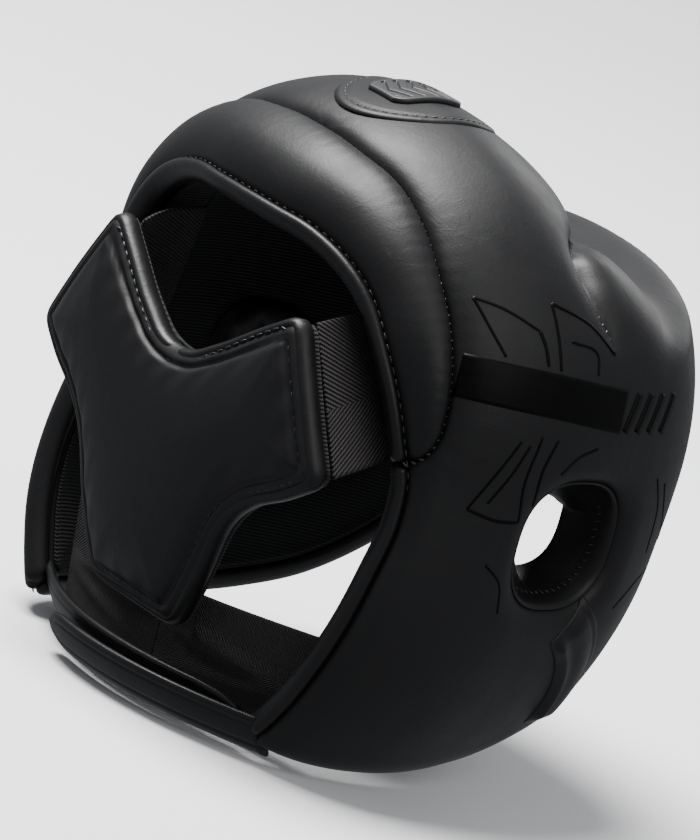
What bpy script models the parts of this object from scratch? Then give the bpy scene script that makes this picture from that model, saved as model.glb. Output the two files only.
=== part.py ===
# Boxing headgear: padded shell, crescent arch pad, Y-shaped rear pad on elastics, and a crossed neck closure.
# Frame: origin midway between the ear openings, +Z up, the face looks along -Y, the wearer's left is +X.
import bpy
import math
import numpy as np

cm = 0.01

# ---- driving dimensions, in centimetres and degrees ----
head_centre = np.array([0.0, 2.0, 2.0])
half_width = 11.5
half_depth_front = 11.0
half_depth_rear = 10.4
half_height_up = 11.2
half_height_down = 17.5
roundness = 2.15

skin_thickness = 0.15
lining_thickness = 0.15
layer_gap = 0.04
shell_thickness = 2.5
edge_thickness_inside = 1.75
edge_drop = 0.75
edge_round_radius = 1.1
brow_fullness = 0.075
crown_fall = 0.19
nape_fullness = 1.5
jaw_fullness = 0.5
seam_depth = 0.35
seam_reach = 0.55
dart_depth = 0.9

ear_centre = (-13.3, -10.8)
ear_half_rearward = 13.8
ear_half_upward = 12.8
ear_squareness = 2.5

piping_radius = 0.42
pad_thickness = 1.6
flap_thickness = 0.7
badge_length = 3.4
badge_width = 2.4
badge_height = 0.35

# ---- side map: first number degrees rearward, second degrees upward, both seen from the ear axis ----


def middle(angle):
    return (90.0 * math.cos(math.radians(angle)), 90.0 * math.sin(math.radians(angle)))


arch_curve = [middle(40.0), (61.2, 51.8), (53, 46.2), (45.5, 39), (40, 31), (36, 21), (32, 11), (29, 3), (27.4, -1)]
seam_curve = [middle(60.0), (42.0, 73), (38, 66), (32.6, 58), (29, 48), (26.5, 37), (24, 26), (22.7, 16), (22.6, 7)]
seam_end_curve = [(22.6, 7), (23.4, 3.5), (25.2, 0.5), (27.4, -1)]
rear_curve = [(27.6, -54), (27.2, -47), (27, -40), (26.5, -31), (26, -22.5), (25.2, -13), (26, -5), (27.4, -1)]
bottom_curve = [(27.6, -54), (12, -52.5), (-3, -52.5), (-16, -51.8), (-30, -48.5), (-43, -42), (-52, -35)]
face_curve = [(-52, -35), (-60, -26), (-59, -15), (-51, -7), (-51, 1), (-62, 6.5), (-76, 10), middle(172)]
dart_curve = [middle(133), (-50, 60), (-34, 56), (-19, 52.5), (-11, 47), (-9.8, 41), (-10.3, 35), (-12.5, 29)]
jaw_band_curve = [(-19.5, -24.5), (-24, -29), (-27, -34.5), (-28, -40), (-27, -45)]


def smooth_curve(points, count):
    """A Catmull-Rom curve through the points, at even steps of length."""
    knots = np.array(points, float)
    chord = np.r_[0.0, np.cumsum(np.hypot(*np.diff(knots, axis=0).T) ** 0.5)]
    slope = np.gradient(knots, chord, axis=0)
    fine = np.linspace(0.0, chord[-1], 600)
    left = np.clip(np.searchsorted(chord, fine, side="right") - 1, 0, len(chord) - 2)
    step = (chord[left + 1] - chord[left])[:, None]
    t = ((fine - chord[left])[:, None]) / step
    here = knots[left]
    there = knots[left + 1]
    curve = (2 * t ** 3 - 3 * t ** 2 + 1) * here + (t ** 3 - 2 * t ** 2 + t) * step * slope[left]
    curve = curve + (3 * t ** 2 - 2 * t ** 3) * there + (t ** 3 - t ** 2) * step * slope[left + 1]
    length = np.r_[0.0, np.cumsum(np.hypot(*np.diff(curve, axis=0).T))]
    wanted = np.linspace(0.0, length[-1], count)
    return np.stack([np.interp(wanted, length, curve[:, 0]), np.interp(wanted, length, curve[:, 1])], -1)


def at(curve, fraction):
    """Points of a finely sampled curve at fractions 0..1 of its length."""
    place = np.clip(np.asarray(fraction, float), 0.0, 1.0) * (len(curve) - 1)
    low = np.floor(place).astype(int)
    high = np.minimum(low + 1, len(curve) - 1)
    part = (place - low)[..., None]
    return curve[low] * (1 - part) + curve[high] * part


def direction(side):
    """Unit direction from the head centre for a side-map point on the wearer's right."""
    away = np.radians(np.hypot(side[..., 0], side[..., 1]))
    turn = np.arctan2(side[..., 1], side[..., 0])
    x = -np.cos(away)
    x = np.where(np.abs(away - math.pi / 2) < 2e-4, 0.0, x)
    return np.stack([x, np.sin(away) * np.cos(turn), np.sin(away) * np.sin(turn)], -1)


def rise(value, low, high):
    t = np.clip((value - low) / (high - low), 0.0, 1.0)
    return t * t * (3 - 2 * t)


def base_radius(side):
    """Radius of the plain head form: a superellipsoid, fuller at brow, jaw and nape, lower before the dart."""
    way = direction(side)
    depth = np.where(way[..., 1] < 0, half_depth_front, half_depth_rear)
    height = np.where(way[..., 2] > 0, half_height_up, half_height_down)
    total = np.abs(way[..., 0] / half_width) ** roundness
    total = total + np.abs(way[..., 1] / depth) ** roundness + np.abs(way[..., 2] / height) ** roundness
    plain = total ** (-1.0 / roundness)
    away = np.hypot(side[..., 0], side[..., 1])
    turn = np.degrees(np.arctan2(side[..., 1], side[..., 0]))
    front = rise(-way[..., 1], 0.05, 0.75) * rise(away, 10, 45) * rise(way[..., 2], -0.85, -0.25)
    before_dart = rise(turn, 80, 128) * (1 - rise(turn, 133.5, 146)) * rise(away, 34, 70)
    nape = rise(-side[..., 1], 0, 45) * rise(side[..., 0], -25, 25)
    jaw = rise(-side[..., 1], 10, 45) * (1 - rise(side[..., 0], -40, -5))
    plain = plain * (1 + brow_fullness * front - crown_fall * before_dart)
    return plain + nape_fullness * nape + jaw_fullness * jaw


def on_shell(side, lift):
    """Point in centimetres at a side-map place, lifted outward by a number of centimetres."""
    side = np.asarray(side, float)
    lift = np.asarray(lift, float)
    return head_centre + direction(side) * (base_radius(side) + lift)[..., None]


def distance_to(side, curve, mirrored=False):
    """Distance in centimetres on the head form from each side-map point to a curve."""
    points = on_shell(side, 0.0).reshape(-1, 3)
    line = on_shell(smooth_curve(curve, 160), 0.0)
    if mirrored:
        line = np.concatenate([line, line * np.array([-1.0, 1.0, 1.0])])
    gaps = np.linalg.norm(points[:, None, :] - line[None, :, :], axis=2)
    return gaps.min(axis=1).reshape(side.shape[:-1])


def rim_value(side):
    """Below one inside the ear opening: a squared-off ellipse in the side map."""
    a = np.abs((side[..., 0] - ear_centre[0]) / ear_half_rearward) ** ear_squareness
    b = np.abs((side[..., 1] - ear_centre[1]) / ear_half_upward) ** ear_squareness
    return a + b


def rim_loop(count, grow):
    """Side-map points round the ear opening, grown or shrunk by a factor."""
    angle = np.linspace(0.0, 2 * math.pi, count, endpoint=False)
    way = np.stack([np.cos(angle), np.sin(angle)], -1)
    reach = (np.abs(way[:, 0] / ear_half_rearward) ** ear_squareness
             + np.abs(way[:, 1] / ear_half_upward) ** ear_squareness) ** (-1.0 / ear_squareness)
    return np.array(ear_centre) + way * (reach * grow)[:, None]


def coons(bottom, top, rear, front, u, v):
    """Four-sided patch spanned between its edges; u runs rear to front and v bottom to top."""
    u1 = u[..., None]
    v1 = v[..., None]
    across = (1 - v1) * at(bottom, u) + v1 * at(top, u)
    along = (1 - u1) * at(rear, v) + u1 * at(front, v)
    corner = (1 - u1) * (1 - v1) * bottom[0] + u1 * (1 - v1) * bottom[-1]
    corner = corner + (1 - u1) * v1 * top[0] + u1 * v1 * top[-1]
    return across + along - corner


def main_edges():
    bottom = smooth_curve(bottom_curve, 400)
    arc = [middle(a) for a in np.linspace(59.5, 172, 60)]
    top = np.array(arc)
    top = np.stack([np.interp(np.linspace(0, 59, 400), np.arange(60), top[:, 0]),
                    np.interp(np.linspace(0, 59, 400), np.arange(60), top[:, 1])], -1)
    spread = np.hypot(top[:, 0], top[:, 1])[:, None]
    top = top / spread * 90.0
    lower = smooth_curve(rear_curve, 240)
    link = smooth_curve(seam_end_curve, 60)[::-1]
    upper = smooth_curve(seam_curve, 300)[::-1]
    joined = np.concatenate([lower, link[1:], upper[1:]])
    length = np.r_[0.0, np.cumsum(np.hypot(*np.diff(joined, axis=0).T))]
    wanted = np.linspace(0, length[-1], 400)
    rear = np.stack([np.interp(wanted, length, joined[:, 0]), np.interp(wanted, length, joined[:, 1])], -1)
    front = smooth_curve(face_curve, 400)
    return bottom, top, rear, front


def main_side_grid(counts, rings):
    """Side-map grid round the ear opening: one row per ring, one column per spoke."""
    bottom, top, rear, front = main_edges()
    centre = find_patch_place(bottom, top, rear, front, np.array(ear_centre))
    target = spoke_targets(counts)
    way = target - centre
    low = np.zeros(len(way))
    high = np.ones(len(way))
    for _ in range(40):
        half = (low + high) / 2
        place = coons(bottom, top, rear, front, centre[0] + half * way[:, 0], centre[1] + half * way[:, 1])
        inside = rim_value(place) < 1.0
        low = np.where(inside, half, low)
        high = np.where(inside, high, half)
    start = high
    steps = np.linspace(0.0, 1.0, rings)[:, None]
    steps = 0.6 * steps + 0.4 * (3 * steps ** 2 - 2 * steps ** 3)
    span = start[None, :] + (1.0 - start)[None, :] * steps
    u = np.clip(centre[0] + span * way[None, :, 0], 0.0, 1.0)
    v = np.clip(centre[1] + span * way[None, :, 1], 0.0, 1.0)
    side = coons(bottom, top, rear, front, u, v)
    on_middle = v[-1] > 1 - 1e-7
    outer = np.hypot(side[-1, :, 0], side[-1, :, 1])
    side[-1, on_middle] = side[-1, on_middle] / outer[on_middle][:, None] * 90.0
    return side


def find_patch_place(bottom, top, rear, front, target):
    """The patch place whose side-map point is the target, by repeated small corrections."""
    place = np.array([0.5, 0.5])
    for _ in range(60):
        here = coons(bottom, top, rear, front, place[0:1], place[1:2])[0]
        du = coons(bottom, top, rear, front, place[0:1] + 1e-3, place[1:2])[0] - here
        dv = coons(bottom, top, rear, front, place[0:1], place[1:2] + 1e-3)[0] - here
        jacobian = np.stack([du, dv], -1) / 1e-3
        place = place + 0.6 * np.linalg.solve(jacobian, target - here)
        place = np.clip(place, 0.05, 0.95)
    return place


def spoke_targets(counts):
    """Places on the patch outline, evenly spaced along each of its four sides, starting at a corner."""
    bottom = np.linspace(0.0, 1.0, counts[0], endpoint=False)
    front = np.linspace(0.0, 1.0, counts[1], endpoint=False)
    top = np.linspace(1.0, 0.0, counts[2], endpoint=False)
    rear = np.linspace(1.0, 0.0, counts[3], endpoint=False)
    u = np.concatenate([bottom, np.ones(counts[1]), top, np.zeros(counts[3])])
    v = np.concatenate([np.zeros(counts[0]), front, np.ones(counts[2]), rear])
    return np.stack([u, v], -1)


def arch_side_grid(main_side, counts, across):
    """Side-map grid of the crescent pad, row by row from the middle down, sharing the seam's own points."""
    first = counts[0] + counts[1] + counts[2]
    seam = main_side[-1, first:]
    below = np.array([point[1] < 0.2 and point[0] > 24.0 for point in seam])
    seam = seam[:int(np.argmax(below))]
    clear = np.array([0.30, -0.14])
    seam = seam + clear
    seam[0] = np.array(middle(59.6))
    length = np.r_[0.0, np.cumsum(np.hypot(*np.diff(seam, axis=0).T))]
    arch = at(smooth_curve(arch_curve, 400), length / length[-1] * 0.975)
    share = np.linspace(0.0, 1.0, across)[None, :, None]
    side = seam[:, None, :] * (1 - share) + arch[:, None, :] * share
    side[0] = side[0] / np.hypot(side[0, :, 0], side[0, :, 1])[:, None] * 90.0
    return side


def outline_curves():
    return [rear_curve, bottom_curve, face_curve]


def edge_roll(distance, radius):
    """One at the edge, falling to nothing a radius inward, like a quarter circle."""
    t = np.clip(1 - distance / radius, 0.0, 1.0)
    return 1 - np.sqrt(np.clip(1 - t * t, 0.0, 1.0))


def main_relief(side):
    """Outer lift of the main skin in centimetres: rounded edges, seam valley and dart."""
    gap = np.full(side.shape[:-1], 99.0)
    for curve in outline_curves():
        gap = np.minimum(gap, distance_to(side, curve))
    lift = -edge_drop * edge_roll(gap, edge_round_radius)
    seam_gap = distance_to(side, seam_curve)
    seam_gap = np.minimum(seam_gap, distance_to(side, seam_end_curve))
    lift = lift - seam_depth * np.exp(-seam_gap / seam_reach)
    dart_gap = distance_to(side, dart_curve)
    turn = np.hypot(side[..., 0], side[..., 1])
    lift = lift - dart_depth * np.exp(-dart_gap / 0.6) * rise(turn, 32, 60)
    rim_gap = (rim_value(side) ** (1 / ear_squareness) - 1) * 2.9
    lift = lift - 0.35 * edge_roll(np.maximum(rim_gap, 0.0), 0.9)
    return np.maximum(lift, -1.25)


def main_inner(side):
    """Inner lift of the shell in centimetres: full thickness, thinner at every open edge."""
    gap = np.full(side.shape[:-1], 99.0)
    for curve in outline_curves():
        gap = np.minimum(gap, distance_to(side, curve))
    return -shell_thickness + (shell_thickness - edge_thickness_inside) * np.exp(-(gap / 1.2) ** 2)


def arch_relief(side):
    seam_gap = np.minimum(distance_to(side, seam_curve), distance_to(side, seam_end_curve))
    arch_gap = distance_to(side, arch_curve)
    lift = -seam_depth * np.exp(-seam_gap / seam_reach) - edge_drop * edge_roll(arch_gap, edge_round_radius)
    return np.maximum(lift, -1.1)


def arch_inner(side):
    gap = distance_to(side, arch_curve)
    return -shell_thickness + (shell_thickness - edge_thickness_inside) * np.exp(-(gap / 1.2) ** 2)


# ---- scene helpers ----
for old in list(bpy.data.objects):
    bpy.data.objects.remove(old, do_unlink=True)

parts = bpy.data.collections.new("boxing_headgear")
bpy.context.scene.collection.children.link(parts)
guides = bpy.data.collections.new("guides")
bpy.context.scene.collection.children.link(guides)


def paint(ob, name, colour, rough, metal=0.0):
    """Give an object its own plain material."""
    mat = bpy.data.materials.new(name)
    mat.use_nodes = True
    shader = mat.node_tree.nodes["Principled BSDF"]
    shader.inputs["Base Color"].default_value = (colour[0], colour[1], colour[2], 1.0)
    shader.inputs["Roughness"].default_value = rough
    shader.inputs["Metallic"].default_value = metal
    ob.data.materials.clear()
    ob.data.materials.append(mat)


def mesh_object(name, vertices, faces, smooth=True):
    data = bpy.data.meshes.new(name)
    data.from_pydata([tuple(float(c) * cm for c in p) for p in vertices], [], faces)
    data.validate()
    if smooth:
        data.polygons.foreach_set("use_smooth", [True] * len(data.polygons))
    ob = bpy.data.objects.new(name, data)
    parts.objects.link(ob)
    return ob


def facing_out(ob):
    """Turn the object's faces outward."""
    bpy.context.view_layer.objects.active = ob
    for other in bpy.context.selected_objects:
        other.select_set(False)
    ob.select_set(True)
    bpy.ops.object.mode_set(mode="EDIT")
    bpy.ops.mesh.select_all(action="SELECT")
    bpy.ops.mesh.normals_make_consistent(inside=False)
    bpy.ops.object.mode_set(mode="OBJECT")


def apply_modifiers(ob):
    bpy.context.view_layer.objects.active = ob
    for other in bpy.context.selected_objects:
        other.select_set(False)
    ob.select_set(True)
    for modifier in list(ob.modifiers):
        bpy.ops.object.modifier_apply(modifier=modifier.name)


def mirror_in_middle(ob):
    """Reflect a half that is open at the middle plane and join it there."""
    mirror = ob.modifiers.new("mirror", "MIRROR")
    mirror.use_axis = (True, False, False)
    mirror.merge_threshold = 0.00005
    apply_modifiers(ob)
    facing_out(ob)


def layer_half(name, outer, inner, wrap, open_edges):
    """Solid between an outer and an inner grid of points; edges named in open_edges stay open."""
    rows, columns = outer.shape[:2]
    vertices = np.concatenate([outer.reshape(-1, 3), inner.reshape(-1, 3)])
    shift = rows * columns
    faces = []
    last = columns if wrap else columns - 1
    for i in range(rows - 1):
        for j in range(last):
            k = (j + 1) % columns
            a, b, c, d = i * columns + j, i * columns + k, (i + 1) * columns + k, (i + 1) * columns + j
            faces.append((a, b, c))
            faces.append((a, c, d))
            faces.append((c + shift, b + shift, a + shift))
            faces.append((d + shift, c + shift, a + shift))
    loops = []
    for j in range(last):
        k = (j + 1) % columns
        loops.append((j, k))
        loops.append(((rows - 1) * columns + j, (rows - 1) * columns + k))
    if not wrap:
        for i in range(rows - 1):
            loops.append((i * columns, (i + 1) * columns))
            loops.append((i * columns + columns - 1, (i + 1) * columns + columns - 1))
    flat = outer.reshape(-1, 3)
    for a, b in loops:
        if open_edges and abs(flat[a, 0]) < 1e-9 and abs(flat[b, 0]) < 1e-9:
            continue
        faces.append((a, b, b + shift, a + shift))
    return mesh_object(name, vertices, faces)


def layered(name, side, outer_lift, inner_lift, wrap, mirrored=True):
    ob = layer_half(name, on_shell(side, outer_lift), on_shell(side, inner_lift), wrap, mirrored)
    if mirrored:
        mirror_in_middle(ob)
    else:
        facing_out(ob)
    return ob


def other_side(ob, name):
    """A reflected copy of an object on the wearer's left."""
    twin = ob.copy()
    twin.data = ob.data.copy()
    twin.name = name
    parts.objects.link(twin)
    for vertex in twin.data.vertices:
        vertex.co.x = -vertex.co.x
    twin.data.flip_normals()
    return twin


black_leather = (0.022, 0.022, 0.024)
black_foam = (0.05, 0.05, 0.055)
black_fabric = (0.012, 0.012, 0.013)
gloss_black = (0.006, 0.006, 0.007)

# ---- main shell: skin, foam and lining share one grid ----
spoke_counts = (13, 12, 16, 20)
main_side = main_side_grid(spoke_counts, 6)
main_out = main_relief(main_side)
main_in = main_inner(main_side)
ob = layered("main_cover", main_side, main_out, main_out - skin_thickness, True)
paint(ob, "main_cover", black_leather, 0.5)
ob = layered("main_foam", main_side, main_out - skin_thickness - layer_gap,
             main_in + lining_thickness + layer_gap, True)
paint(ob, "main_foam", black_foam, 0.9)
ob = layered("main_lining", main_side, main_in + lining_thickness, main_in, True)
paint(ob, "main_lining", black_fabric, 0.9)

# ---- crescent arch pad ----
arch_side = arch_side_grid(main_side, spoke_counts, 5)
arch_out = arch_relief(arch_side)
arch_in = arch_inner(arch_side)
ob = layered("arch_cover", arch_side, arch_out, arch_out - skin_thickness, False)
paint(ob, "arch_cover", black_leather, 0.5)
ob = layered("arch_foam", arch_side, arch_out - skin_thickness - layer_gap,
             arch_in + lining_thickness + layer_gap, False)
paint(ob, "arch_foam", black_foam, 0.9)
ob = layered("arch_lining", arch_side, arch_in + lining_thickness, arch_in, False)
paint(ob, "arch_lining", black_fabric, 0.9)


# ---- ear opening sleeves ----
def ear_sleeve(name):
    count = 24
    outer_loop = rim_loop(count, 0.975)
    inner_loop = rim_loop(count, 0.925)
    levels = [-0.25, -1.3, -2.45]
    rows = []
    for loop in (outer_loop, inner_loop):
        for level in levels:
            rows.append(on_shell(loop, np.full(count, level)))
    vertices = np.concatenate(rows)
    faces = []
    n = len(levels)
    for i in range(n - 1):
        for j in range(count):
            k = (j + 1) % count
            faces.append((i * count + j, i * count + k, (i + 1) * count + k, (i + 1) * count + j))
            low = (i + n) * count
            high = (i + n + 1) * count
            faces.append((high + j, high + k, low + k, low + j))
    for j in range(count):
        k = (j + 1) % count
        faces.append((j, k, n * count + k, n * count + j))
        faces.append(((n - 1) * count + k, (n - 1) * count + j, (2 * n - 1) * count + j, (2 * n - 1) * count + k))
    made = mesh_object(name, vertices, faces)
    facing_out(made)
    paint(made, name, black_leather, 0.45)
    return made


sleeve = ear_sleeve("ear_sleeve_right")
twin = other_side(sleeve, "ear_sleeve_left")
paint(twin, "ear_sleeve_left", black_leather, 0.45)


# ---- strips that lie on the shell ----
def strip(name, centre_curve, width, thickness, steps, lift, colour, rough, ends=0.0, rounding=0.0):
    """A band of even width lying on the main skin along a side-map curve."""
    line = smooth_curve(centre_curve, steps)
    base = on_shell(line, np.zeros(steps))
    along = np.gradient(base, axis=0)
    along = along / np.linalg.norm(along, axis=1)[:, None]
    out = direction(line)
    sideways = np.cross(along, out)
    sideways = sideways / np.linalg.norm(sideways, axis=1)[:, None]
    fractions = np.linspace(-0.5, 0.5, 5)
    grid = base[:, None, :] + sideways[:, None, :] * (fractions * width)[None, :, None]
    side = to_side(grid)
    low = on_shell(side, main_relief(side) + lift)
    crown = np.sqrt(np.clip(1 - (fractions * 2) ** 2 * 0.8, 0.05, 1.0))[None, :]
    high = on_shell(side, main_relief(side) + lift + thickness * crown)
    made = layer_half(name, high, low, False, False)
    facing_out(made)
    paint(made, name, colour, rough)
    return made


def to_side(points):
    """Side-map place of points in centimetres."""
    way = points - head_centre
    way = way / np.linalg.norm(way, axis=-1)[..., None]
    away = np.degrees(np.arccos(np.clip(-way[..., 0], -1, 1)))
    turn = np.arctan2(way[..., 2], way[..., 1])
    return np.stack([away * np.cos(turn), away * np.sin(turn)], -1)


band = strip("jaw_band_right", jaw_band_curve, 2.1, 0.5, 10, 0.12, black_leather, 0.45)
twin = other_side(band, "jaw_band_left")
paint(twin, "jaw_band_left", black_leather, 0.45)
stripe_curve = [(21.0, 17.5), (12, 17.3), (0, 17.0), (-12, 16.2), (-22, 15.6), (-30, 15.2)]
stripe = strip("side_stripe_right", stripe_curve, 1.6, 0.05, 12, 0.10, gloss_black, 0.15)
twin = other_side(stripe, "side_stripe_left")
paint(twin, "side_stripe_left", gloss_black, 0.15)


# ---- crown patch and badge ----
def crown_patch():
    count = 24
    angle = np.linspace(0, 2 * math.pi, count, endpoint=False)
    rows = []
    rings = [0.12, 0.55, 1.0]
    for ring in rings:
        x = 2.6 * ring * np.cos(angle)
        y = 3.6 + 3.1 * ring * np.sin(angle)
        rows.append(np.stack([x, y], -1))
    flat = np.array(rows)
    top = np.zeros(flat.shape[:2] + (3,))
    for i in range(flat.shape[0]):
        for j in range(count):
            top[i, j] = drop_on_crown(flat[i, j, 0], flat[i, j, 1])
    way = top - head_centre
    way = way / np.linalg.norm(way, axis=-1)[..., None]
    low = top + way * 0.05
    high = top + way * 0.19
    rows = len(rings)
    vertices = np.concatenate([high.reshape(-1, 3), low.reshape(-1, 3)])
    shift = rows * count
    faces = []
    for i in range(rows - 1):
        for j in range(count):
            k = (j + 1) % count
            a, b, c, d = i * count + j, i * count + k, (i + 1) * count + k, (i + 1) * count + j
            faces.append((a, b, c, d))
            faces.append((d + shift, c + shift, b + shift, a + shift))
    for j in range(count):
        k = (j + 1) % count
        faces.append(((rows - 1) * count + j, (rows - 1) * count + k,
                      (rows - 1) * count + k + shift, (rows - 1) * count + j + shift))
    faces.append(tuple(range(count)))
    faces.append(tuple(shift + j for j in reversed(range(count))))
    made = mesh_object("crown_patch", vertices, faces)
    facing_out(made)
    paint(made, "crown_patch", black_leather, 0.5)


def drop_on_crown(x, y):
    """Point of the plain head form straight below a high place over the crown."""
    low = 5.0
    high = 16.0
    for _ in range(40):
        z = (low + high) / 2
        point = np.array([-abs(x), y, z])
        side = to_side(point[None, :])
        radius = base_radius(side)[0]
        if np.linalg.norm(point - head_centre) > radius:
            high = z
        else:
            low = z
    return np.array([x, y, low])


crown_patch()


def plate(name, outline, thickness, bevel, place, turn, colour, rough):
    """Flat outline extruded as a filled curve, with a small bevel, then set in place."""
    curve = bpy.data.curves.new(name, "CURVE")
    curve.dimensions = "2D"
    curve.fill_mode = "BOTH"
    curve.extrude = thickness * cm / 2
    spline = curve.splines.new("POLY")
    spline.points.add(len(outline) - 1)
    for index, point in enumerate(outline):
        spline.points[index].co = (point[0] * cm, point[1] * cm, 0.0, 1.0)
    spline.use_cyclic_u = True
    holder = bpy.data.objects.new(name + "_outline", curve)
    guides.objects.link(holder)
    bpy.context.view_layer.update()
    data = bpy.data.meshes.new_from_object(holder.evaluated_get(bpy.context.evaluated_depsgraph_get()))
    bpy.data.objects.remove(holder, do_unlink=True)
    made = bpy.data.objects.new(name, data)
    data.name = name
    parts.objects.link(made)
    weld(made)
    if bevel > 0:
        edge = made.modifiers.new("bevel", "BEVEL")
        edge.width = bevel * cm
        edge.segments = 2
        edge.limit_method = "ANGLE"
        edge.angle_limit = math.radians(50)
        apply_modifiers(made)
    made.rotation_euler = turn
    made.location = tuple(c * cm for c in place)
    bpy.context.view_layer.objects.active = made
    for other in bpy.context.selected_objects:
        other.select_set(False)
    made.select_set(True)
    bpy.ops.object.transform_apply(location=True, rotation=True, scale=True)
    facing_out(made)
    paint(made, name, colour, rough)
    return made


def weld(made):
    bpy.context.view_layer.objects.active = made
    for other in bpy.context.selected_objects:
        other.select_set(False)
    made.select_set(True)
    bpy.ops.object.mode_set(mode="EDIT")
    bpy.ops.mesh.select_all(action="SELECT")
    bpy.ops.mesh.remove_doubles(threshold=0.00001)
    bpy.ops.object.mode_set(mode="OBJECT")


badge_spot = drop_on_crown(0.0, 3.6)
ahead = drop_on_crown(0.0, 3.2)
behind = drop_on_crown(0.0, 4.0)
badge_tilt = math.atan2(behind[2] - ahead[2], behind[1] - ahead[1])
badge_up = np.array([0.0, -math.sin(badge_tilt), math.cos(badge_tilt)])
badge_lift = 0.19 + 0.04 + 0.06 + badge_height / 2
badge_place = badge_spot + badge_up * badge_lift
corner_cut = 0.45
half_l = badge_length / 2
half_w = badge_width / 2
badge_outline = [(-half_w + corner_cut, -half_l), (half_w - corner_cut, -half_l), (half_w, -half_l + corner_cut),
                 (half_w, half_l - corner_cut), (half_w - corner_cut, half_l), (-half_w + corner_cut, half_l),
                 (-half_w, half_l - corner_cut), (-half_w, -half_l + corner_cut)]
plate("crown_badge", badge_outline, badge_height, 0.06, badge_place, (badge_tilt, 0.0, 0.0), gloss_black, 0.4)
badge_face = badge_place + badge_up * badge_height / 2
print("badge face cm", badge_face, "normal", badge_up)


# ---- piping along the arch, the rear edges and the bottom ----
def piping(name, side_curves, outward_sign, centre_lift, closed_half, trim=(0.0, 1.0)):
    """Round cord beside an open edge; its centre stands one radius and a gap outside the edge."""
    line = np.concatenate([smooth_curve(c, 120)[(0 if i == 0 else 1):] for i, c in enumerate(side_curves)])
    length = np.r_[0.0, np.cumsum(np.hypot(*np.diff(line, axis=0).T))]
    steps = 22
    wanted = np.linspace(length[-1] * trim[0], length[-1] * trim[1], steps)
    line = np.stack([np.interp(wanted, length, line[:, 0]), np.interp(wanted, length, line[:, 1])], -1)
    base = on_shell(line, np.full(steps, centre_lift))
    along = np.gradient(base, axis=0)
    along = along / np.linalg.norm(along, axis=1)[:, None]
    away = np.cross(along, direction(line)) * outward_sign
    away = away / np.linalg.norm(away, axis=1)[:, None]
    centre = base + away * (piping_radius + 0.10)
    points = centre
    if closed_half:
        points[0, 0] = 0.0
        points = np.concatenate([points[::-1], points[1:] * np.array([-1.0, 1.0, 1.0])])
    curve = bpy.data.curves.new(name, "CURVE")
    curve.dimensions = "3D"
    curve.bevel_depth = piping_radius * cm
    curve.bevel_resolution = 1
    curve.use_fill_caps = True
    spline = curve.splines.new("POLY")
    spline.points.add(len(points) - 1)
    for index, point in enumerate(points):
        spline.points[index].co = (point[0] * cm, point[1] * cm, point[2] * cm, 1.0)
    holder = bpy.data.objects.new(name + "_path", curve)
    guides.objects.link(holder)
    bpy.context.view_layer.update()
    data = bpy.data.meshes.new_from_object(holder.evaluated_get(bpy.context.evaluated_depsgraph_get()))
    bpy.data.objects.remove(holder, do_unlink=True)
    made = bpy.data.objects.new(name, data)
    data.name = name
    parts.objects.link(made)
    weld(made)
    facing_out(made)
    data.polygons.foreach_set("use_smooth", [True] * len(data.polygons))
    paint(made, name, black_leather, 0.4)
    return made


middle_lift = -(edge_drop + edge_thickness_inside) / 2
piping("arch_piping", [arch_curve], 1.0, middle_lift, True, (0.0, 0.97))
rear_roll = piping("rear_piping_right", [rear_curve], -1.0, middle_lift, False, (0.03, 0.97))
twin = other_side(rear_roll, "rear_piping_left")
paint(twin, "rear_piping_left", black_leather, 0.4)


# ---- curved pads behind the head ----
def bent_sheet(name, grid_xz, rear_face, thickness, colour, rough, offset, wrap=False):
    """Solid of even depth in y: its outer face follows rear_face(x, z) moved in by the offset."""
    x = grid_xz[..., 0]
    z = grid_xz[..., 1]
    outer = np.stack([x, rear_face(x, z) - offset, z], -1)
    inner = np.stack([x, rear_face(x, z) - offset - thickness, z], -1)
    made = layer_half(name, outer, inner, wrap, False)
    facing_out(made)
    paint(made, name, colour, rough)
    return made


def pad_face(x, z):
    return 11.48 - 0.0088 * x * x + 0.09 * z - 0.0125 * z * z


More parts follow.
